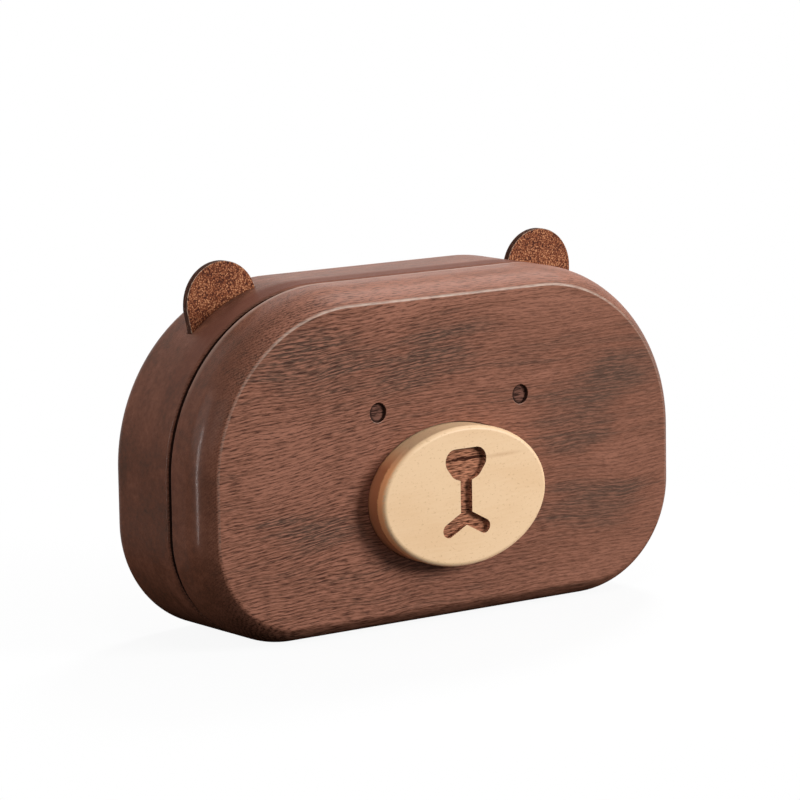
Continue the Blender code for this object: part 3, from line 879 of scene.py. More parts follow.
    def _worn_and_highlit(self, r: Recipe) -> Socket:
        """How far the wood takes the pale colour on creases and rims: a painted highlight with some
        real wear, strongest where they face up.

        Args:
            r: The material's recipe.

        Returns:
            The share of the pale colour, painted highlight and wear together.
        """
        _, toward, up = r.split("Normal")
        crease = r.ramp(r.math("MULTIPLY_ADD", toward, 0.5), (0.0004, 0.0), (0.012, 1.0),
                        (0.050, 0.60), (0.090, 0.0), (0.56, 0.0), (0.70, 1.0), (0.88, 1.0),
                        (0.97, 0.0))
        outward = r.math("SQRT", r.minus(1.0001, r.times(toward, toward)))
        upward = r.ramp(r.math("MULTIPLY_ADD", r.math("DIVIDE", up, outward), 0.5),
                        (0.40, 0.0), (0.50, 0.16), (0.85, 0.36), (0.985, 1.0))
        broken = r.span(r.mottle((0.35, 1.5, 1.5), 3.0, 0.6), 0.35, 0.60, 0.45, 1.0)
        return r.times(r.times(crease, upward), r.times(broken, self.wear_and_highlight))


@dataclass(frozen=True)
class Beech:
    """Pale beech with tiny brown specks, a faint streak, and an edge burnt brown towards the face,
    shown only on its left and lower side, where it is also painted shade.
    """

    pale: Colour = (0.735, 0.510, 0.305)
    warm: Colour = (0.700, 0.470, 0.270)
    speck: Colour = (0.420, 0.230, 0.110)
    # Burnt-edge colours, which are also painted shade on the left and lower side.
    caramel: Colour = (0.960, 0.460, 0.210)
    toast: Colour = (0.460, 0.170, 0.080)
    front_y: float = -0.0190
    pale_depth: float = 0.0002
    caramel_depth: float = 0.0007
    toast_depth: float = 0.0021

    def make(self) -> Material:
        """Builds the material.

        Returns:
            The material.
        """
        r = Recipe("beech_satin", Specular_IOR_Level=0.30)
        broad = r.mottle((0.05, 0.12, 0.12), 3.0, 0.55)
        fine = r.noise(r.place((0.20, 2.0, 2.0), (0.0, 3.0, 0.0)), 3.0, 0.6)
        tone = r.plus(r.times(broad, 0.65), r.times(fine, 0.35))
        colour = r.ramp(tone, (0.36, self.warm), (0.56, self.pale))
        cells = r.noise(r.place((1.3, 2.0, 2.0), shift=(3.1, 0.0, 1.7)), 2.0, 0.7)
        specks = r.ramp(cells, (0.59, 0.0), (0.70, 1.0))
        streak = r.spot((9.0, -19.0, 33.8), (7.0, 200.0, 0.6), 1.0)
        marks = r.plus(r.times(specks, 0.45), r.times(streak, 0.45), clamp=True)
        colour = self._toasted_and_shaded(r, r.mix(marks, colour, self.speck), fine)
        return r.finish(colour, r.ramp(fine, (0.3, 0.40), (0.7, 0.52)), fine, 0.00002, 0.5)

    def _toasted_and_shaded(self, r: Recipe, colour: Socket, fine: Socket) -> Socket:
        """Browns the colour with depth behind the plate's front, a burnt edge deepened as painted
        shade, on the left and below only.

        Args:
            r: The material's recipe.
            colour: The colour so far.
            fine: The fine grain, which frays the brown bands.

        Returns:
            The browned colour.
        """
        normal = r.split("Normal")
        uneven = r.times(r.minus(fine, 0.5), 0.0008)
        depth = r.plus(r.minus(r.split("Object")[1], self.front_y), uneven)
        # Painted shade: only faces turned left or down are browned.
        side = r.math("MULTIPLY_ADD", normal[2], -0.6, r.times(normal[0], -0.8))
        shade_side = r.span(side, -0.15, 0.25)
        for start, end, shade in (
                (self.pale_depth, self.caramel_depth, self.caramel),
                (self.toast_depth - 0.0002, self.toast_depth + 0.0002, self.toast)):
            colour = r.mix(r.times(r.span(depth, start, end), shade_side), colour, shade)
        return colour


@dataclass(frozen=True)
class BurntBeech:
    """The engraving's floor and walls, burnt brown, with the grain left standing in streaks."""

    char: Colour = (0.042, 0.013, 0.007)
    toast: Colour = (0.500, 0.215, 0.122)

    def make(self) -> Material:
        """Builds the material.

        Returns:
            The material.
        """
        r = Recipe("beech_burnt", Specular_IOR_Level=0.05)
        crack = r.spot((1.0, -18.0, 33.8), (7.0, 200.0, 0.45), 1.0)
        streaks = r.minus(r.mottle((0.45, 1.0, 4.0), 3.0, 0.6), r.times(crack, 0.35))
        colour = r.ramp(streaks, (0.37, self.char), (0.61, self.toast))
        return r.finish(colour, r.ramp(streaks, (0.3, 0.85), (0.7, 0.65)), streaks, 0.00015, 0.9)


@dataclass(frozen=True)
class ShadedCutWalnut:
    """Walnut in the eyes' holes and the seam's rebate: darker than the face as painted shade, with
    the grain as level lines.
    """

    dark: Colour = (0.022, 0.008, 0.005)
    brown: Colour = (0.155, 0.066, 0.045)

    def make(self) -> Material:
        """Builds the material.

        Returns:
            The material.
        """
        r = Recipe("walnut_cut_shaded", Specular_IOR_Level=0.1)
        lines = r.mottle((0.45, 1.0, 3.6), 2.0, 0.6)
        colour = r.ramp(lines, (0.40, self.dark), (0.58, self.brown))
        # Painted shade: the eyes' holes darken towards their walls.
        left, right = (r.spot((x, -18.0, 44.6), (1.8, 200.0, 2.0)) for x in (-17.7, 18.3))
        rim = r.ramp(r.math("MAXIMUM", left, right), (0.08, 0.95), (0.28, 0.0))
        return r.finish(r.mix(rim, colour, self.dark), r.ramp(lines, (0.3, 0.85), (0.7, 0.65)),
                        lines, 0.00008, 0.8)


@dataclass(frozen=True)
class Leather:
    """Fine pebbled leather, reddish brown, with golden specks and dark dots."""

    deep: Colour = (0.045, 0.012, 0.007)
    body: Colour = (0.212, 0.062, 0.026)
    speck: Colour = (0.640, 0.320, 0.160)

    def make(self) -> Material:
        """Builds the material.

        Returns:
            The material.
        """
        r = Recipe("leather_brown", Specular_IOR_Level=0.06)
        grain = r.add("TexVoronoi", {"Vector": r.place((2.8, 2.8, 2.8)), "Scale": 1.0,
                                     "Randomness": 0.75}).outputs["Distance"]
        mottled = r.mottle((4.6, 4.6, 4.6), 2.0, 0.6)
        broad = r.mottle((0.30, 0.30, 0.30), 2.0)
        value = r.plus(r.times(mottled, 0.45), r.times(r.minus(0.95, grain), 0.52))
        value = r.plus(value, r.times(r.minus(broad, 0.5), 0.16))
        colour = r.ramp(value, (0.30, self.deep), (0.48, self.body), (0.72, self.speck))
        return r.finish(colour, r.ramp(mottled, (0.3, 0.50), (0.7, 0.72)), value, 0.00016, 0.9)


@dataclass(frozen=True)
class LeatherEdge:
    """The burnished dark edge of the cut leather, with its layers, and pale spots on its arrises
    that are partly rub marks and partly painted highlight.
    """

    dark: Colour = (0.022, 0.009, 0.006)
    brown: Colour = (0.075, 0.028, 0.017)
    rubbed_and_glint: Colour = (0.480, 0.330, 0.240)

    def make(self) -> Material:
        """Builds the material.

        Returns:
            The material.
        """
        r = Recipe("leather_edge", Specular_IOR_Level=0.03)
        layers = r.mottle((0.8, 3.2, 0.8), 4.0, 0.7)
        colour = r.ramp(layers, (0.38, self.dark), (0.60, self.brown), (0.76, self.rubbed_and_glint))
        # Pale spots on the arrises towards front and back, fewer facing up: partly wear, partly
        # painted highlight.
        _, toward, up = r.split("Normal")
        corner = r.span(r.math("ABSOLUTE", toward), 0.30, 0.60)
        turned = r.span(up, 0.40, 0.85, 1.0, 0.15)
        dots = r.ramp(r.mottle((1.7, 1.7, 1.7), 1.0), (0.40, 0.25), (0.55, 1.0))
        colour = r.mix(r.times(r.times(corner, turned), dots), colour, self.rubbed_and_glint)
        return r.finish(colour, r.ramp(layers, (0.3, 0.45), (0.7, 0.7)), layers, 0.0001, 0.7)


@dataclass(frozen=True)
class Metal:
    """Plated or polished metal with fine scratches and a little tarnish."""

    name: str
    bright: Colour
    dull: Colour
    gloss: float
    scratch_scale: Point

    def make(self) -> Material:
        """Builds the material.

        Returns:
            The material.
        """
        r = Recipe(self.name, Metallic=1.0)
        tarnish = r.mottle((0.35, 0.35, 0.35), 5.0, 0.65)
        scratches = r.mottle(self.scratch_scale, 3.0, 0.7)
        colour = r.ramp(tarnish, (0.38, self.dull), (0.58, self.bright))
        spread = r.plus(r.times(scratches, 0.22), r.times(tarnish, 0.10))
        return r.finish(colour, r.plus(spread, self.gloss), scratches, 0.00001, 0.5)


@dataclass(frozen=True)
class Velvet:
    """Short velvet, with a pile that lies this way and that."""

    low: Colour = (0.300, 0.225, 0.158)
    high: Colour = (0.520, 0.420, 0.315)

    def make(self) -> Material:
        """Builds the material.

        Returns:
            The material.
        """
        r = Recipe("velvet_sand", Specular_IOR_Level=0.15, Sheen_Weight=0.55,
                   Sheen_Roughness=0.4, Sheen_Tint=(0.95, 0.85, 0.72))
        nap = r.mottle((0.14, 0.14, 0.14), 4.0, 0.6, 0.8)
        pile = r.mottle((5.5, 5.5, 5.5), 3.0, 0.7)
        tone = r.plus(r.times(nap, 0.55), r.times(pile, 0.45))
        colour = r.ramp(tone, (0.36, self.low), (0.62, self.high))
        return r.finish(colour, r.ramp(pile, (0.3, 0.85), (0.7, 1.0)), tone, 0.00018, 0.9)


@dataclass(frozen=True)
class MirrorGlass:
    """Silvered glass with the faintest waviness and a few dust specks."""

    silver: Colour = (0.860, 0.880, 0.885)
    dust: Colour = (0.640, 0.660, 0.665)

    def make(self) -> Material:
        """Builds the material.

        Returns:
            The material.
        """
        r = Recipe("mirror_silver", Metallic=1.0)
        film = r.mottle((0.05, 0.05, 0.05))
        dusty = r.ramp(r.mottle((1.8, 1.8, 1.8), 4.0, 0.8), (0.70, 0.0), (0.78, 1.0))
        roughness = r.plus(r.times(film, 0.02), r.times(dusty, 0.12))
        return r.finish(r.mix(dusty, self.silver, self.dust), roughness, film, 0.00002, 0.1)


@dataclass(frozen=True)
class GlassEdge:
    """The ground edge of the mirror, green and dull."""

    green: Colour = (0.200, 0.330, 0.290)
    frost: Colour = (0.480, 0.600, 0.560)

    def make(self) -> Material:
        """Builds the material.

        Returns:
            The material.
        """
        r = Recipe("glass_edge", Specular_IOR_Level=0.6)
        ground = r.mottle((1.4, 2.5, 1.4), 4.0, 0.7)
        colour = r.ramp(ground, (0.35, self.green), (0.65, self.frost))
        return r.finish(colour, r.ramp(ground, (0.3, 0.18), (0.7, 0.40)), ground, 0.00002, 0.5)


class Finishes:
    """Every finish of the box, made once."""

    def __init__(self) -> None:
        """Makes the finishes."""
        # The case's seam band is painted shade, partly dark grain; the face's is a painted pale
        # highlight.
        self.case = Walnut("walnut_case", (0.0030, 0.0062), (0.150, 0.060, 0.042),
                           shift=(3.7, 1.9, 5.3), marked=0.6, rise=0.0, arch=0.0).make()
        # The face's pale crease line is mostly painted highlight, with some real wear.
        self.face = Walnut("walnut_face", (-0.0024, -0.0042), (0.480, 0.330, 0.270),
                           clouds=FACE_CLOUDS, wear_and_highlight=0.75).make()
        # The darker walnut stands for the shade in the eyes' holes and the seam's rebate.
        self.cut = ShadedCutWalnut().make()
        self.beech = Beech().make()
        self.burnt = BurntBeech().make()
        self.leather = Leather().make()
        self.leather_edge = LeatherEdge().make()
        self.velvet = Velvet().make()
        self.mirror = MirrorGlass().make()
        self.glass_edge = GlassEdge().make()
        self.brass = Metal("brass_polished", (0.760, 0.540, 0.235), (0.560, 0.360, 0.130), 0.14,
                           (0.6, 6.0, 6.0)).make()
        self.nickel = Metal("nickel_plated", (0.700, 0.690, 0.660), (0.560, 0.545, 0.510), 0.10,
                            (4.0, 4.0, 4.0)).make()


@dataclass
class Shell:
    """One half of the head: rounded over, rebated round its rim, hollowed and cut for fittings."""

    body: Body
    round_radius: float
    planed_off: float = 0.0
    crease_width: float = 0.00045
    groove_depth: float = 0.0018
    rim_radius: float = 0.0003

    def build(self, name: str, cutters: list[Workpiece]) -> Workpiece:
        """Models the shell.

        Args:
            name: The shell's name.
            cutters: What is cut out of it for its fittings.

        Returns:
            The shell.
        """
        way = self.body.way
        flat_y = FORM.back_y if self.body is Body.CASE else FORM.face_y
        lip_y, rim_y = FORM.lip_y(self.body), FORM.rim_y(self.body)
        end_y = flat_y + way * self.planed_off
        shell = Workpiece.rounded_slab(name, FORM.width / 2, 0.0, FORM.height,
                                       (FORM.top_radius, FORM.bottom_radius), lip_y, end_y)
        with shell:
            shell.round_rim(end_y, self.round_radius, segments=24)
            if self.planed_off:
                shell.saw((0.0, flat_y, 0.0), (0.0, float(way), 0.0))
                shell.round_rim(flat_y, self.crease_width, segments=6)
            shell.round_rim(lip_y, self.rim_radius, segments=5)
            shell.pick(Element.FACE, lambda face: in_plane(face, lip_y))
            bpy.ops.mesh.inset(thickness=self.groove_depth - self.rim_radius, depth=0.0,
                               use_even_offset=True)
            shell.extrude(rim_y - lip_y)
            shell.outwards()
        shell.combine(Workpiece.inner_slab("hollow_cutter", FORM.side_wall,
                                           FORM.floor_y(self.body), rim_y - way * OVERRUN))
        for cutter in cutters:
            shell.combine(cutter)
        return shell

    def in_rebate(self, face: Face) -> bool:
        """Whether a face is in the rebate round the rim, which takes the darker walnut as painted
        shade in the seam.
        """
        ends = sorted((FORM.lip_y(self.body), FORM.rim_y(self.body) + self.body.way * SLIVER))
        return ends[0] - FLUSH < face.calc_center_median().y < ends[1] + FLUSH


@dataclass
class Muzzle:
    """The oval beech plate let into the face, with its nose and mouth burnt in."""

    finishes: Finishes
    half_width: float = 0.0207
    half_height: float = 0.0143
    centre_z: float = 0.0263
    stand: float = 0.0050
    inlet: float = 0.0010
    edge_radius: float = 0.0010
    engraving: float = 0.0011
    line_radius: float = 0.00145
    stroke_sides: int = 48
    nose: tuple[Circle, ...] = (
        (-0.00265, 0.0336, 0.0025), (0.00265, 0.0336, 0.0025), (-0.0016, 0.0323, 0.00255),
        (0.0016, 0.0323, 0.00255), (0.0, 0.0322, 0.0030))
    join_z: float = 0.0221
    mouth_spread: float = 0.0045
    mouth_z: float = 0.0197
    engraved_x: float = 0.0070
    engraved_z: float = 0.0105

    @property
    def front_y(self) -> float:
        """The plane of the plate's front."""
        return FORM.face_y - self.stand

    def _oval(self, name: str, grow: float, start_y: float, end_y: float) -> Workpiece:
        """The oval, from one depth to another.

        Args:
            name: The piece's name.
            grow: The clearance that it is grown by.
            start_y: The depth of its first face.
            end_y: The depth of its second face.

        Returns:
            The oval.
        """
        wide, high = self.half_width + grow, self.half_height + grow
        return Workpiece.cylinder(name, wide, end_y - start_y,
                                  (0.0, (start_y + end_y) / 2, self.centre_z), Axis.Y, sides=160,
                                  squash=high / wide)

    def pocket(self) -> Workpiece:
        """The cutter of the pocket in the face."""
        return self._oval("muzzle_pocket_cutter", FORM.snug_gap, self.front_y,
                          FORM.face_y + self.inlet)

    def _stroke(self, *circles: Circle) -> Workpiece:
        """The cutter of a stroke stretched round circles.

        Args:
            *circles: Each a place across, a height and a radius.

        Returns:
            The cutter.
        """
        low, high = self.front_y - OVERRUN, self.front_y + self.engraving
        x, z, radius = circles[0]
        stroke = Workpiece.cylinder("stroke_cutter", radius, high - low, (x, (low + high) / 2, z),
                                    Axis.Y, sides=self.stroke_sides)
        with stroke:
            for x, z, radius in circles[1:]:
                bpy.ops.mesh.primitive_cylinder_add(
                    vertices=self.stroke_sides, radius=radius, depth=high - low,
                    location=(x, (low + high) / 2, z), rotation=Axis.Y.value)
            bpy.ops.mesh.select_all(action="SELECT")
            bpy.ops.mesh.convex_hull()
            stroke.outwards()
        return stroke

    def build(self) -> None:
        """Models the plate, engraves it and dresses it."""
        plate = self._oval("beech_muzzle", 0.0, self.front_y,
                           FORM.face_y + self.inlet - FORM.fit_gap)
        with plate:
            plate.round_rim(self.front_y, self.edge_radius, segments=8)
        join = (0.0, self.join_z, self.line_radius)
        nose = self._stroke(*self.nose)
        ends = [(*self.nose[-1][:2], self.line_radius)]
        ends += [(side.sign * self.mouth_spread, self.mouth_z, self.line_radius) for side in Side]
        for end in ends:
            nose.combine(self._stroke(join, end), "UNION")
        plate.combine(nose)
        plate.finish(Body.LID, Slot.BEECH, "muzzle_plate",
                     [self.finishes.beech, self.finishes.burnt], self._in_engraving)

    def _in_engraving(self, face: Face) -> bool:
        """Whether a face is one of the engraving's floor or walls.

        Args:
            face: A face of the plate.

        Returns:
            Whether it is below the plate's front and within the engraved field.
        """
        x, y, z = face.calc_center_median()
        inside = abs(x) < self.engraved_x and abs(z - self.centre_z) < self.engraved_z
        return inside and SLIVER < y - self.front_y < self.engraving + SLIVER


@dataclass
class Eyes:
    """The two round eyes sunk in the face."""

    radius: float = 0.0020
    depth: float = 0.0007
    spacing: float = 0.0360
    height: float = 0.0446
    rim_radius: float = 0.00013

    def cutters(self) -> list[Workpiece]:
        """The drills that sink the eyes.

        Returns:
            One drill for each side.
        """
        low, high = FORM.face_y - OVERRUN, FORM.face_y + self.depth
        return [Workpiece.cylinder(f"eye_cutter_{side.value}", self.radius, high - low,
                                   (side.sign * self.spacing / 2, (low + high) / 2, self.height),
                                   Axis.Y, sides=64) for side in Side]

    def _off_centre(self, point: Vector) -> float:
        """How far a point of the face lies from the axis of its own side's eye."""
        return math.hypot(abs(point.x) - self.spacing / 2, point.z - self.height)

    def _on_rim(self, edge: Edge) -> bool:
        """Whether an edge is part of a hole's rim."""
        return all(abs(v.co.y - FORM.face_y) < FLUSH
                   and abs(self._off_centre(v.co) - self.radius) < 2 * SLIVER for v in edge.verts)

    def ease_rims(self, face: Workpiece) -> None:
        """Breaks the sharp rims of the holes.

        Args:
            face: The shell that they are sunk in.
        """
        with face:
            face.pick(Element.EDGE, self._on_rim)
            face.round_picked(self.rim_radius, segments=3)

    def in_hole(self, face: Face) -> bool:
        """Whether a face is one of an eye's floor or wall.

        Args:
            face: A face of the shell.

        Returns:
            Whether it is below the rim of an eye's hole.
        """
        middle = face.calc_center_median()
        return (self._off_centre(middle) < self.radius + self.rim_radius
                and self.rim_radius < middle.y - FORM.face_y < 2 * self.depth)


@dataclass
class Ears:
    """Two leather tabs in slots behind the seam."""

    finishes: Finishes
    half_width: float = 0.0084
    thickness: float = 0.0015
    middle_x: float = 0.0402
    head_z: float = 0.0666
    taper: float = 0.21
    front_y: float = 0.0075
    tongue: float = 0.0035
    edge_radius: float = 0.00035

    def _tab(self, name: str, side: Side, play: float) -> Workpiece:
        """The tab's form: its outer side draws in, and its foot follows the head's corner.

        Args:
            name: The tab's name.
            side: The side that it stands on.
            play: The clearance that it is grown by.

        Returns:
            The tab.
        """
        middle_x = side.sign * self.middle_x
        half = self.half_width + play
        start_y, end_y = self.front_y - play, self.front_y + self.thickness + play
        tab = Workpiece.rounded_slab(name, half, FORM.turn_z, self.head_z + half,
                                     (half - SLIVER, 0.0), start_y, end_y, middle_x, steps=36)
        along, down = math.cos(self.taper), math.sin(self.taper)
        with tab:
            tab.saw((middle_x + side.sign * half * along, start_y, self.head_z - half * down),
                    (side.sign * along, 0.0, -down))
        tab.combine(Workpiece.cylinder(
            name + "_foot", FORM.top_radius - self.tongue - play, 5 * OVERRUN,
            (side.sign * FORM.turn_x, (start_y + end_y) / 2, FORM.turn_z), Axis.Y, sides=256))
        return tab

    def slots(self) -> list[Workpiece]:
        """The cutters of the slots in the case."""
        return [self._tab(f"ear_slot_cutter_{side.value}", side, FORM.snug_gap) for side in Side]

    def build(self) -> None:
        """Models both ears and dresses them, faces and edges apart."""
        for side in Side:
            ear = self._tab(f"leather_ear_{side.value}", side, 0.0)
            ear.ease(self.edge_radius, segments=3)
            ear.finish(Body.CASE, Slot.LEATHER, f"ear_{side.value}",
                       [self.finishes.leather, self.finishes.leather_edge],
                       lambda face: abs(face.normal.y) < 0.97)


@dataclass
class Hinges:
    """Two butt hinges let into the bottom rails, with their pins and countersunk screws."""

    finishes: Finishes
    spacing: float = 0.0460
    length: float = 0.0180
    knuckles: int = 5
    knuckle_radius: float = 0.0014
    pin_radius: float = 0.00055
    pin_overhang: float = 0.0003
    pin_dome: float = 0.00018
    leaf_near: float = 0.00015
    leaf_thickness: float = 0.0008
    leaf_top: float = 0.0079
    leaf_corner: float = 0.0010
    screw_spacing: float = 0.0110
    screw_height: float = 0.0056
    head_radius: float = 0.0012
    head_height: float = 0.0005
    head_blank: float = 0.0001
    shank_radius: float = 0.0007
    screw_length: float = 0.0050
    screw_sink: float = 0.0001
    tip_length: float = 0.0010
    tip_share: float = 0.3
    recess_depth: float = 0.00038
    recess_arms: tuple[float, float] = (0.00072, 0.00013)
    recess_share: float = 0.55
    leaf_arris: float = 0.00007
    screw_arris: float = 0.00004
    past_end: float = 0.0010

    def middle_x(self, side: Side) -> float:
        """The place of a hinge's middle along X."""
        return side.sign * self.spacing / 2

    def cutters(self) -> list[Workpiece]:
        """The cutters of the mortises and the reliefs in a shell's rail.

        Returns:
            Two cutters for each hinge, and one that bevels the rim below the pins.
        """
        reach = self.leaf_near + self.leaf_thickness + FORM.fit_gap
        half = self.length / 2 + FORM.fit_gap
        tools = []
        for side in Side:
            middle = self.middle_x(side)
            tools.append(Workpiece.block(
                "mortise_cutter", (middle - half, FORM.seam_y - reach, FORM.pin_height),
                (middle + half, FORM.seam_y + reach, self.leaf_top + FORM.fit_gap)))
            tools.append(Workpiece.cylinder(
                "relief_cutter", self.knuckle_radius + FORM.fit_gap,
                self.length + 2 * (self.pin_overhang + FORM.fit_gap),
                (middle, FORM.seam_y, FORM.pin_height), Axis.X, sides=48))
        near, drop = FORM.groove_width / 2, FORM.pin_height + OVERRUN
        wedge = Workpiece.block(
            "wedge_cutter", (-FORM.width / 2, FORM.seam_y - near, FORM.pin_height - drop),
            (FORM.width / 2, FORM.seam_y + near, FORM.pin_height))
        with wedge:
            wedge.pick(Element.FACE, lambda face: face.normal.z < -0.9)
            wedge.resize((1.0, (near + drop) / near, 1.0), (0.0, FORM.seam_y, 0.0))
        return [*tools, wedge]

    def _leaf(self, side: Side, body: Body) -> Workpiece:
        """One leaf, with its rolled knuckles and its countersunk holes.

        Args:
            side: The hinge that it belongs to.
            body: The body that it is screwed to.

        Returns:
            The leaf.
        """
        middle, half = self.middle_x(side), self.length / 2
        inner = FORM.seam_y + body.way * self.leaf_near
        outer = inner + body.way * self.leaf_thickness
        leaf = Workpiece.block(f"{body.value}_leaf_{side.value}",
                               (middle - half, min(inner, outer), FORM.pin_height),
                               (middle + half, max(inner, outer), self.leaf_top))
        with leaf:
            leaf.pick(Element.EDGE, lambda e: all(v.co.z > self.leaf_top - SAME for v in e.verts)
                      and at_one_x(e))
            leaf.round_picked(self.leaf_corner, segments=8)
        pitch = self.length / self.knuckles
        axis_y, axis_z = FORM.seam_y, FORM.pin_height
        clear = self.knuckle_radius + FORM.fit_gap
        for number in range(self.knuckles):
            x = middle - half + pitch * (number + 0.5)
            if (number % 2 == 0) == (body is Body.CASE):
                leaf.combine(Workpiece.cylinder(
                    "knuckle", self.knuckle_radius, pitch - FORM.snug_gap / 2,
                    (x, axis_y, axis_z), Axis.X, sides=40), "UNION")
            else:
                play = FORM.snug_gap / 2 + (self.past_end if number in (0, self.knuckles - 1)
                                            else 0.0)
                leaf.combine(Workpiece.block(
                    "notch", (x - pitch / 2 - play, axis_y - clear, axis_z - clear),
                    (x + pitch / 2 + play, axis_y + clear, axis_z + clear)))
        leaf.combine(Workpiece.cylinder("bore", self.pin_radius + FORM.snug_gap, self.length * 1.2,
                                        (middle, axis_y, axis_z), Axis.X, sides=32))
        for step in (-1, 1):
            leaf.combine(self._screw_body(middle + step * self.screw_spacing / 2, body,
                                          FORM.snug_gap / 2, self.past_end))
        leaf.ease(self.leaf_arris, segments=2, angle=50.0)
        return leaf

    def _screw_body(self, x: float, body: Body, play: float, proud: float) -> Workpiece:
        """A countersunk screw's form: a turned head and shank along Y.

        Args:
            x: The screw's place across.
            body: The body that it is driven into.
            play: How much larger than the screw it is.
            proud: How far the head is drawn out of its sink.

        Returns:
            The form, with its head towards the seam.
        """
        way, radius = body.way, self.head_radius + play
        face_y = FORM.seam_y + way * (self.leaf_near + self.screw_sink)
        screw = Workpiece.cylinder("screw_form", radius, proud,
                                   (x, face_y - way * proud / 2, self.screw_height), Axis.Y,
                                   sides=32)
        with screw:
            screw.pick(Element.FACE, lambda face: in_plane(face, face_y))
            screw.extrude(way * (self.head_height + play))
            self._shrink(screw, (self.shank_radius + play) / radius, x)
            screw.extrude(way * (self.screw_length - self.head_height - self.tip_length))
            screw.extrude(way * self.tip_length)
            self._shrink(screw, self.tip_share, x)
            screw.outwards()
        return screw

    def _shrink(self, piece: Workpiece, share: float, x: float) -> None:
        """Scales what is picked about a screw's own axis."""
        piece.resize((share, 1.0, share), (x, 0.0, self.screw_height))

    def _screw(self) -> Workpiece:
        """The pattern of every screw: head towards the seam, with a cross recess.

        Returns:
            The pattern, driven into the case in the middle of the box.
        """
        screw = self._screw_body(0.0, Body.CASE, 0.0, self.head_blank)
        face_y = FORM.seam_y + self.leaf_near + self.screw_sink
        with screw:
            screw.saw((0.0, face_y, 0.0), (0.0, -1.0, 0.0))
            screw.outwards()
        low, high, z = face_y - self.past_end, face_y + self.recess_depth, self.screw_height
        for wide, tall in (self.recess_arms, self.recess_arms[::-1]):
            recess = Workpiece.block("recess", (-wide, low, z - tall), (wide, high, z + tall))
            with recess:
                recess.pick(Element.FACE, lambda face: in_plane(face, high))
                self._shrink(recess, self.recess_share, 0.0)
            screw.combine(recess)
        screw.ease(self.screw_arris, segments=2, angle=40.0)
        screw.obj.data.materials.append(self.finishes.brass)
        screw.smooth()
        return screw

    def _pin(self, side: Side) -> Workpiece:
        """A pin with slightly domed ends.

        Args:
            side: The hinge that it belongs to.

        Returns:
            The pin.
        """
        middle = self.middle_x(side)
        end = self.length / 2 + self.pin_overhang
        pin = Workpiece.cylinder(f"pin_{side.value}", self.pin_radius, 2 * end,
                                 (middle, FORM.seam_y, FORM.pin_height), Axis.X, sides=32)
        with pin:
            pin.pick(Element.EDGE, lambda e: all(abs(abs(v.co.x - middle) - end) < SAME
                                                 for v in e.verts))
            pin.round_picked(self.pin_dome, segments=4)
        return pin

    def build(self) -> None:
        """Models both hinges and dresses them."""
        pattern = self._screw()
        brass = [self.finishes.brass]
        for side in Side:
            hinge = f"hinge_{side.value}"
            self._pin(side).finish(Body.CASE, Slot.BRASS, f"{hinge}_pin", brass)
            for body in Body:
                self._leaf(side, body).finish(body, Slot.BRASS, f"{hinge}_{body.value}_leaf", brass)
                for number in (1, 2):
                    self._drive(pattern, side, body, number)
        pattern.discard()

    def _drive(self, pattern: Workpiece, side: Side, body: Body, number: int) -> None:
        """Sets a copy of the screw in its hole, each with its recess turned its own way.

        Args:
            pattern: The screw that is copied.
            side: The hinge that it holds.
            body: The body that it is driven into.
            number: 1 for the leaf's left screw and 2 for its right one.
        """
        screw = pattern.copy(f"screw_{body.value}_{side.value}_{number}", 0.0)
        turn = 23.0 + 37.0 * number + (61.0 if body is Body.LID else 0.0) + 17.0 * side.sign
        with screw:
            bpy.ops.mesh.select_all(action="SELECT")
            if body is Body.LID:
                bpy.ops.transform.rotate(value=math.pi, orient_axis="Z",
                                         center_override=(0.0, FORM.seam_y, 0.0))
            bpy.ops.transform.rotate(value=math.radians(turn), orient_axis="Y",
                                     center_override=(0.0, 0.0, self.screw_height))
        x = self.middle_x(side) + (2 * number - 3) * self.screw_spacing / 2
        screw.obj.data.transform(Matrix.Translation((x, 0.0, 0.0)))
        screw.present(body, Slot.BRASS, f"hinge_{side.value}_{body.value}_screw_{number}")


@dataclass
class Magnets:
    """Two pairs of plated disc magnets, flush in the rims' top lands."""

    finishes: Finishes
    radius: float = 0.0020
    thickness: float = 0.0020
    spacing: float = 0.0360
    height: float = 0.0656
    edge_radius: float = 0.0002

    def _disc(self, name: str, side: Side, body: Body, proud: float = 0.0,
              play: float = 0.0, deeper: float = 0.0) -> Workpiece:
        """A disc let into a rim.

        Args:
            name: The disc's name.
            side: The side that it lies on.
            body: The body whose rim it is in.
            proud: How far it stands out of the rim.
            play: How much larger its radius is.
            deeper: How much further it goes into the rim.

        Returns:
            The disc.
        """
        start_y = FORM.rim_y(body) - body.way * proud
        end_y = FORM.rim_y(body) + body.way * (self.thickness + deeper)
        return Workpiece.cylinder(name, self.radius + play, abs(end_y - start_y),
                                  (side.sign * self.spacing / 2, (start_y + end_y) / 2,
                                   self.height), Axis.Y, sides=64)

    def cutters(self, body: Body) -> list[Workpiece]:
        """The cutters of the pockets in a shell's rim."""
        return [self._disc(f"magnet_cutter_{side.value}", side, body, OVERRUN, FORM.snug_gap,
                           FORM.fit_gap) for side in Side]

    def build(self) -> None:
        """Models the four magnets and dresses them."""
        for side in Side:
            for body in Body:
                disc = self._disc(f"magnet_disc_{side.value}_{body.value}", side, body)
                disc.ease(self.edge_radius, segments=3)
                disc.finish(body, Slot.NICKEL, f"magnet_{side.value}_{body.value}",
                            [self.finishes.nickel])


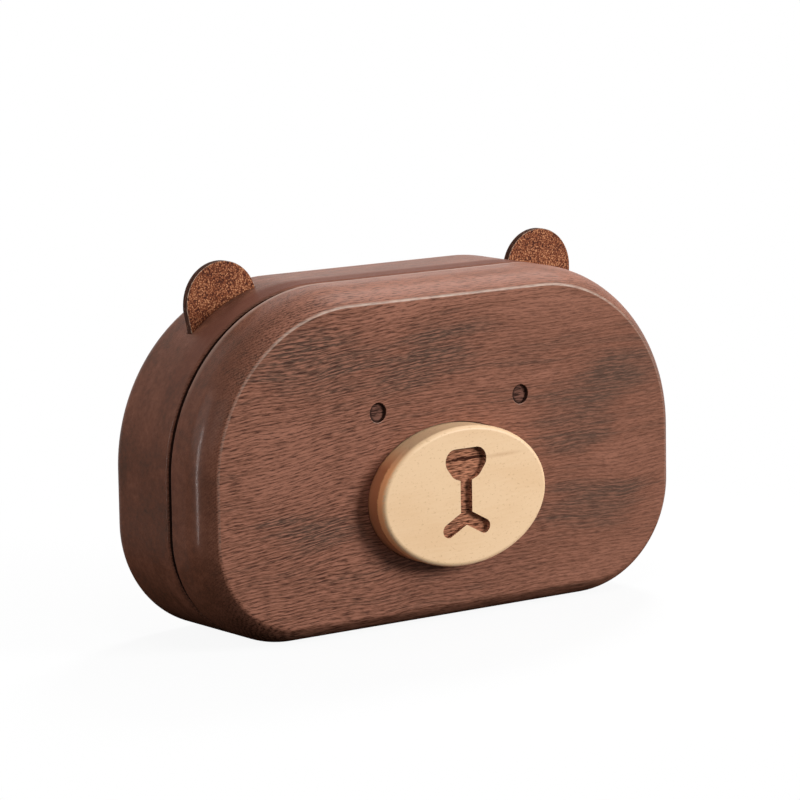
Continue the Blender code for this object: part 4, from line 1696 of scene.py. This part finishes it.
@dataclass
class Linings:
    """The velvet trays that line both hollows."""

    finishes: Finishes
    lip_radius: float = 0.00045
    inner_radius: float = 0.0016

    def build(self) -> None:
        """Models both linings and dresses them."""
        inset = FORM.side_wall + FORM.fit_gap
        for body, node in ((Body.CASE, "case_liner"), (Body.LID, "lid_lining")):
            back_y = FORM.floor_y(body) - body.way * FORM.fit_gap
            mouth_y = FORM.rim_y(body) + body.way * FORM.lining_drop
            tray = Workpiece.inner_slab(f"velvet_{node}", inset, back_y, mouth_y)
            inner = Workpiece.inner_slab("lining_cutter", inset + FORM.lining,
                                         FORM.lining_y(body), mouth_y - body.way * OVERRUN)
            with inner:
                inner.round_rim(FORM.lining_y(body), self.inner_radius, segments=6)
            tray.combine(inner)
            with tray:
                tray.round_rim(mouth_y, self.lip_radius, segments=4)
            tray.finish(body, Slot.VELVET, node, [self.finishes.velvet])


@dataclass
class Dividers:
    """The two upright dividers, and the cross divider on the right."""

    finishes: Finishes
    spacing: float = 0.0520
    thickness: float = 0.0020
    drop: float = 0.0020
    cross_height: float = 0.0360
    edge_radius: float = 0.0007

    def build(self) -> None:
        """Models the dividers and dresses them."""
        foot, back_y = FORM.lined_foot, FORM.lined_back
        top_y = FORM.rim_y(Body.CASE) + self.drop
        near, far = (self.spacing - self.thickness) / 2, (self.spacing + self.thickness) / 2
        head = FORM.lined_top(far) - FORM.fit_gap
        low = self.cross_height - self.thickness / 2
        high = self.cross_height + self.thickness / 2
        end = FORM.lined_reach(high) - FORM.fit_gap
        for node, corner, opposite in (
                ("divider_left", (-far, top_y, foot), (-near, back_y, head)),
                ("divider_right", (near, top_y, foot), (far, back_y, head)),
                ("divider_cross", (far + FORM.fit_gap, top_y, low), (end, back_y, high))):
            divider = Workpiece.block(f"velvet_{node}", corner, opposite)
            divider.ease(self.edge_radius, segments=5)
            divider.finish(Body.CASE, Slot.VELVET, node, [self.finishes.velvet])


@dataclass
class RingRolls:
    """Six padded velvet rolls side by side, that grip rings between them."""

    finishes: Finishes
    count: int = 6
    room: float = 0.0494
    gap: float = 0.0004
    depth: float = 0.0104
    slack: float = 0.00035
    crown: float = 0.42
    end_radius: float = 0.0010
    cap: float = 0.00055
    voxel: float = 0.0008
    bench_scale: float = 20.0
    steps: int = 20

    @property
    def pitch(self) -> float:
        """How far apart the rolls' middles are."""
        return self.room / self.count

    def _blank(self) -> Workpiece:
        """The first roll's form before it swells, a little smaller than its place.

        Returns:
            The blank.
        """
        half = (self.pitch - self.gap) / 2 - self.slack
        back_y = FORM.lined_back
        head = FORM.lined_top(self.room / 2) - FORM.fit_gap
        x = -self.room / 2 + self.pitch / 2
        roll = Workpiece.block(
            "roll_pattern", (x - half, back_y - self.depth + self.slack,
                             FORM.lined_foot + self.slack), (x + half, back_y, head - self.slack))
        with roll:
            roll.pick(Element.EDGE, lambda e: all(v.co.y < back_y - SAME for v in e.verts)
                      and at_one_x(e))
            roll.round_picked(2 * half * self.crown, segments=8)
        roll.ease(self.end_radius, segments=3)
        return roll

    def _swell(self, roll: Workpiece) -> None:
        """Swells the roll's cover over its foam as cloth under pressure, and caps the swelling.

        Args:
            roll: The blank, which is remeshed and left swollen.
        """
        roll.apply("REMESH", mode="VOXEL", voxel_size=self.voxel)
        self._simulate(roll)
        roll.apply("SUBSURF", levels=1, render_levels=1)

    def _simulate(self, roll: Workpiece) -> None:
        """Runs the cloth simulation, with the roll's back held, at a scale that suits it.

        Args:
            roll: The remeshed blank, whose mesh takes the swollen form.
        """
        mesh = roll.obj.data
        held = roll.obj.vertex_groups.new(name="held")
        held.add([v.index for v in mesh.vertices if v.co.y > FORM.lined_back - self.voxel], 1.0,
                 "ADD")
        rest = [v.co.copy() for v in mesh.vertices]
        mesh.transform(Matrix.Scale(self.bench_scale, 4))
        cloth = roll.obj.modifiers.new("cover", "CLOTH")
        for name, value in (("quality", 5), ("mass", 0.3), ("tension_stiffness", 12.0),
                            ("compression_stiffness", 12.0), ("shear_stiffness", 6.0),
                            ("bending_stiffness", 0.4), ("use_pressure", True),
                            ("uniform_pressure_force", 4.0), ("vertex_group_mass", "held")):
            setattr(cloth.settings, name, value)
        cloth.settings.effector_weights.gravity = 0.0
        cloth.collision_settings.use_collision = False
        for step in range(1, self.steps + 1):
            bpy.context.scene.frame_set(step)
        roll.alone()
        bpy.ops.object.modifier_apply(modifier=cloth.name)
        bpy.context.scene.frame_set(1)
        mesh = roll.obj.data
        mesh.transform(Matrix.Scale(1 / self.bench_scale, 4))
        for vertex, start in zip(mesh.vertices, rest):
            move = vertex.co - start
            if move.length > self.cap:
                vertex.co = start + move * (self.cap / move.length)

    def build(self) -> None:
        """Models one roll, copies it along the row and dresses the row."""
        pattern = self._blank()
        self._swell(pattern)
        pattern.obj.data.materials.append(self.finishes.velvet)
        pattern.smooth(60.0)
        for number in range(self.count):
            roll = pattern.copy(f"velvet_roll_{number + 1}", self.pitch * number)
            roll.present(Body.CASE, Slot.VELVET, f"ring_roll_{number + 1}")
        pattern.discard()


@dataclass
class Mirror:
    """The mirror on the lid's lining, with a polished bevel."""

    finishes: Finishes
    thickness: float = 0.0018
    margin: float = 0.0040
    bevel: float = 0.0004
    arris: float = 0.00008

    def build(self) -> None:
        """Models the mirror and dresses its face and its edge."""
        back_y = FORM.lining_y(Body.LID) + FORM.fit_gap
        front_y = back_y + self.thickness
        glass = Workpiece.inner_slab(
            "mirror_pane", FORM.side_wall + FORM.fit_gap + FORM.lining + self.margin, back_y,
            front_y)
        with glass:
            glass.round_rim(front_y, self.bevel, segments=1)
            glass.round_rim(front_y, self.arris, segments=2)
        glass.finish(Body.LID, Slot.MIRROR, "mirror",
                     [self.finishes.mirror, self.finishes.glass_edge],
                     lambda face: abs(face.normal.y) < 0.3, angle=20.0)


@dataclass
class PhotoCamera:
    """The camera at the photograph's place."""

    turn: float = 36.55
    rise: float = 8.87
    roll: float = -0.94
    lens: float = 182.3
    sensor: float = 36.0
    distance: float = 0.8283
    target: Point = (-0.0003, 0.0025, 0.0434)

    def build(self) -> None:
        """Adds the camera and makes it the scene's own."""
        turn, rise, roll = (math.radians(a) for a in (self.turn, self.rise, self.roll))
        back = Vector((-math.sin(turn) * math.cos(rise), -math.cos(turn) * math.cos(rise),
                       math.sin(rise)))
        right = Vector((0.0, 0.0, 1.0)).cross(back).normalized()
        up = back.cross(right)
        across = right * math.cos(roll) + up * math.sin(roll)
        upward = up * math.cos(roll) - right * math.sin(roll)
        data = bpy.data.cameras.new("photo_camera")
        data.lens, data.sensor_width, data.clip_start = self.lens, self.sensor, 0.01
        camera = bpy.data.objects.new("photo_camera", data)
        bpy.context.scene.collection.objects.link(camera)
        turned = Matrix((across, upward, back)).transposed().to_4x4()
        place = Vector(self.target) + back * self.distance
        camera.matrix_world = Matrix.Translation(place) @ turned
        bpy.context.scene.camera = camera
        log.info("camera: %.1f mm lens, %.2f m away", self.lens, self.distance)


@dataclass
class Lamp:
    """One soft area lamp, aimed at a point."""

    name: str
    place: Point
    aim: Point
    size: tuple[float, float]
    power: float
    matte_only: bool = False
    gloss_only: bool = False

    def build(self) -> None:
        """Adds the lamp."""
        data = bpy.data.lights.new(self.name, "AREA")
        data.shape = "RECTANGLE"
        data.size, data.size_y = self.size
        data.energy = self.power
        lamp = bpy.data.objects.new(self.name, data)
        lamp.visible_camera = False
        lamp.visible_diffuse = not self.gloss_only
        lamp.visible_glossy = not self.matte_only
        lamp.location = self.place
        beam = Vector(self.aim) - Vector(self.place)
        lamp.rotation_euler = beam.to_track_quat("-Z", "Y").to_euler()
        bpy.context.scene.collection.objects.link(lamp)


@dataclass
class Studio:
    """A pale floor, a white surround and soft lamps."""

    half_size: float = 3.0
    floor_colour: Colour = (0.05, 0.045, 0.04)
    shadow_colour: Colour = (0.80, 0.80, 0.80)
    shadow_share: float = 0.08
    shadow_core: float = 0.06
    shadow_reach: float = 0.16
    ambient: float = 0.105
    lamps: tuple[Lamp, ...] = (
        Lamp("key", (0.700, -0.800, 0.360), (0.0, 0.0, 0.035), (0.42, 0.42), 15.0),
        Lamp("left_fill", (-0.790, 0.320, 0.380), (0.0, 0.0, 0.035), (0.45, 0.45), 2.7),
        Lamp("front_left", (-0.520, -0.242, 0.260), (0.0, 0.0, 0.035), (0.25, 0.25), 0.60),
        Lamp("top_front", (-0.15, -0.45, 0.85), (0.0, 0.0, 0.035), (0.30, 0.30), 1.8,
             matte_only=True),
        Lamp("back", (0.550, 0.450, 0.700), (0.0, 0.0, 0.05), (0.20, 0.20), 8.0,
             matte_only=True),
        Lamp("left_gleam", (-0.178, 0.0093, 0.045), (-0.0593, -0.0101, 0.045), (0.008, 0.090),
             0.16, gloss_only=True),
        Lamp("top_gleam", (0.588, 0.074, 0.86), (0.0, 0.0, 0.06), (0.50, 0.50), 6.0,
             gloss_only=True))

    def build(self) -> None:
        """Lays the floor, lights the world and hangs the lamps."""
        bpy.context.scene.view_settings.view_transform = "Standard"
        self._floor()
        self._world()
        for lamp in self.lamps:
            lamp.build()
        log.info("studio: %d lamps", len(self.lamps))

    @staticmethod
    def _seen(tree: bpy.types.NodeTree) -> Socket:
        """Where a ray shows the background: to the camera, in gloss and through glass.

        Args:
            tree: The nodes that it is added to.

        Returns:
            1 for such a ray and 0 for any other.
        """
        path = tree.nodes.new("ShaderNodeLightPath")
        total = path.outputs["Is Camera Ray"]
        for name in ("Is Glossy Ray", "Is Transmission Ray"):
            add = tree.nodes.new("ShaderNodeMath")
            add.operation = "MAXIMUM"
            tree.links.new(total, add.inputs[0])
            tree.links.new(path.outputs[name], add.inputs[1])
            total = add.outputs[0]
        return total

    def _floor(self) -> None:
        """A pale floor that shows white, with the box's faint shadow on it near the box."""
        deselect_all()
        bpy.ops.mesh.primitive_plane_add(size=2 * self.half_size, location=(0.0, 0.0, 0.0))
        floor = bpy.context.object
        floor.name = "floor"
        r = Recipe("floor_white", Base_Color=self.floor_colour, Roughness=0.9,
                   Specular_IOR_Level=0.0)
        shadow = r.add("BsdfDiffuse", {"Color": rgba(self.shadow_colour)})
        glow = r.add("Emission", {"Strength": 1.0})
        away = r.add("VectorMath", {0: r.read("Object")}, operation="LENGTH").outputs[1]
        share = r.span(away, self.shadow_core, self.shadow_reach, self.shadow_share, 0.0)
        white = r.add("MixShader", {0: share, 1: glow.outputs[0], 2: shadow.outputs[0]})
        chosen = r.add("MixShader", {0: self._seen(r.material.node_tree), 1: r.shader.outputs[0],
                                     2: white.outputs[0]})
        r.links.new(chosen.outputs[0], r.nodes["Material Output"].inputs[0])
        floor.data.materials.append(r.material)

    def _world(self) -> None:
        """A world that shows white and lights the box softly."""
        world = bpy.data.worlds.new("studio_world")
        world.use_nodes = True
        bpy.context.scene.world = world
        tree = world.node_tree
        soft = tree.nodes["Background"]
        white = tree.nodes.new("ShaderNodeBackground")
        for light in (soft, white):
            light.inputs["Color"].default_value = (1.0, 1.0, 1.0, 1.0)
        soft.inputs["Strength"].default_value = self.ambient
        chosen = tree.nodes.new("ShaderNodeMixShader")
        for source, socket in ((self._seen(tree), chosen.inputs[0]),
                               (soft.outputs[0], chosen.inputs[1]),
                               (white.outputs[0], chosen.inputs[2]),
                               (chosen.outputs[0], tree.nodes["World Output"].inputs[0])):
            tree.links.new(source, socket)


def main() -> None:
    """Builds the scene, sub-assembly by sub-assembly."""
    logging.basicConfig(level=logging.INFO, format="%(name)s: %(message)s")
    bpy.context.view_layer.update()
    finishes = Finishes()
    PhotoCamera().build()
    Studio().build()
    muzzle, eyes, ears = Muzzle(finishes), Eyes(), Ears(finishes)
    hinges, magnets = Hinges(finishes), Magnets(finishes)

    back = Shell(Body.CASE, 0.0035, rim_radius=0.0005)
    case = back.build("walnut_case",
                      [*ears.slots(), *hinges.cutters(), *magnets.cutters(Body.CASE)])
    # The rebate takes the darker walnut as painted shade.
    case.finish(Body.CASE, Slot.WALNUT, "case_body", [finishes.case, finishes.cut],
                back.in_rebate)

    lid = Shell(Body.LID, 0.0088, planed_off=0.00185)
    face = lid.build("walnut_face", [muzzle.pocket(), *eyes.cutters(), *hinges.cutters(),
                                     *magnets.cutters(Body.LID)])
    eyes.ease_rims(face)
    # The eyes' holes and the rebate take the darker walnut as painted shade.
    face.finish(Body.LID, Slot.WALNUT, "face_lid", [finishes.face, finishes.cut],
                lambda f: eyes.in_hole(f) or lid.in_rebate(f))

    for assembly in (muzzle, ears, hinges, magnets, Linings(finishes), Dividers(finishes),
                     RingRolls(finishes), Mirror(finishes)):
        assembly.build()


if __name__ == "__main__":
    main()
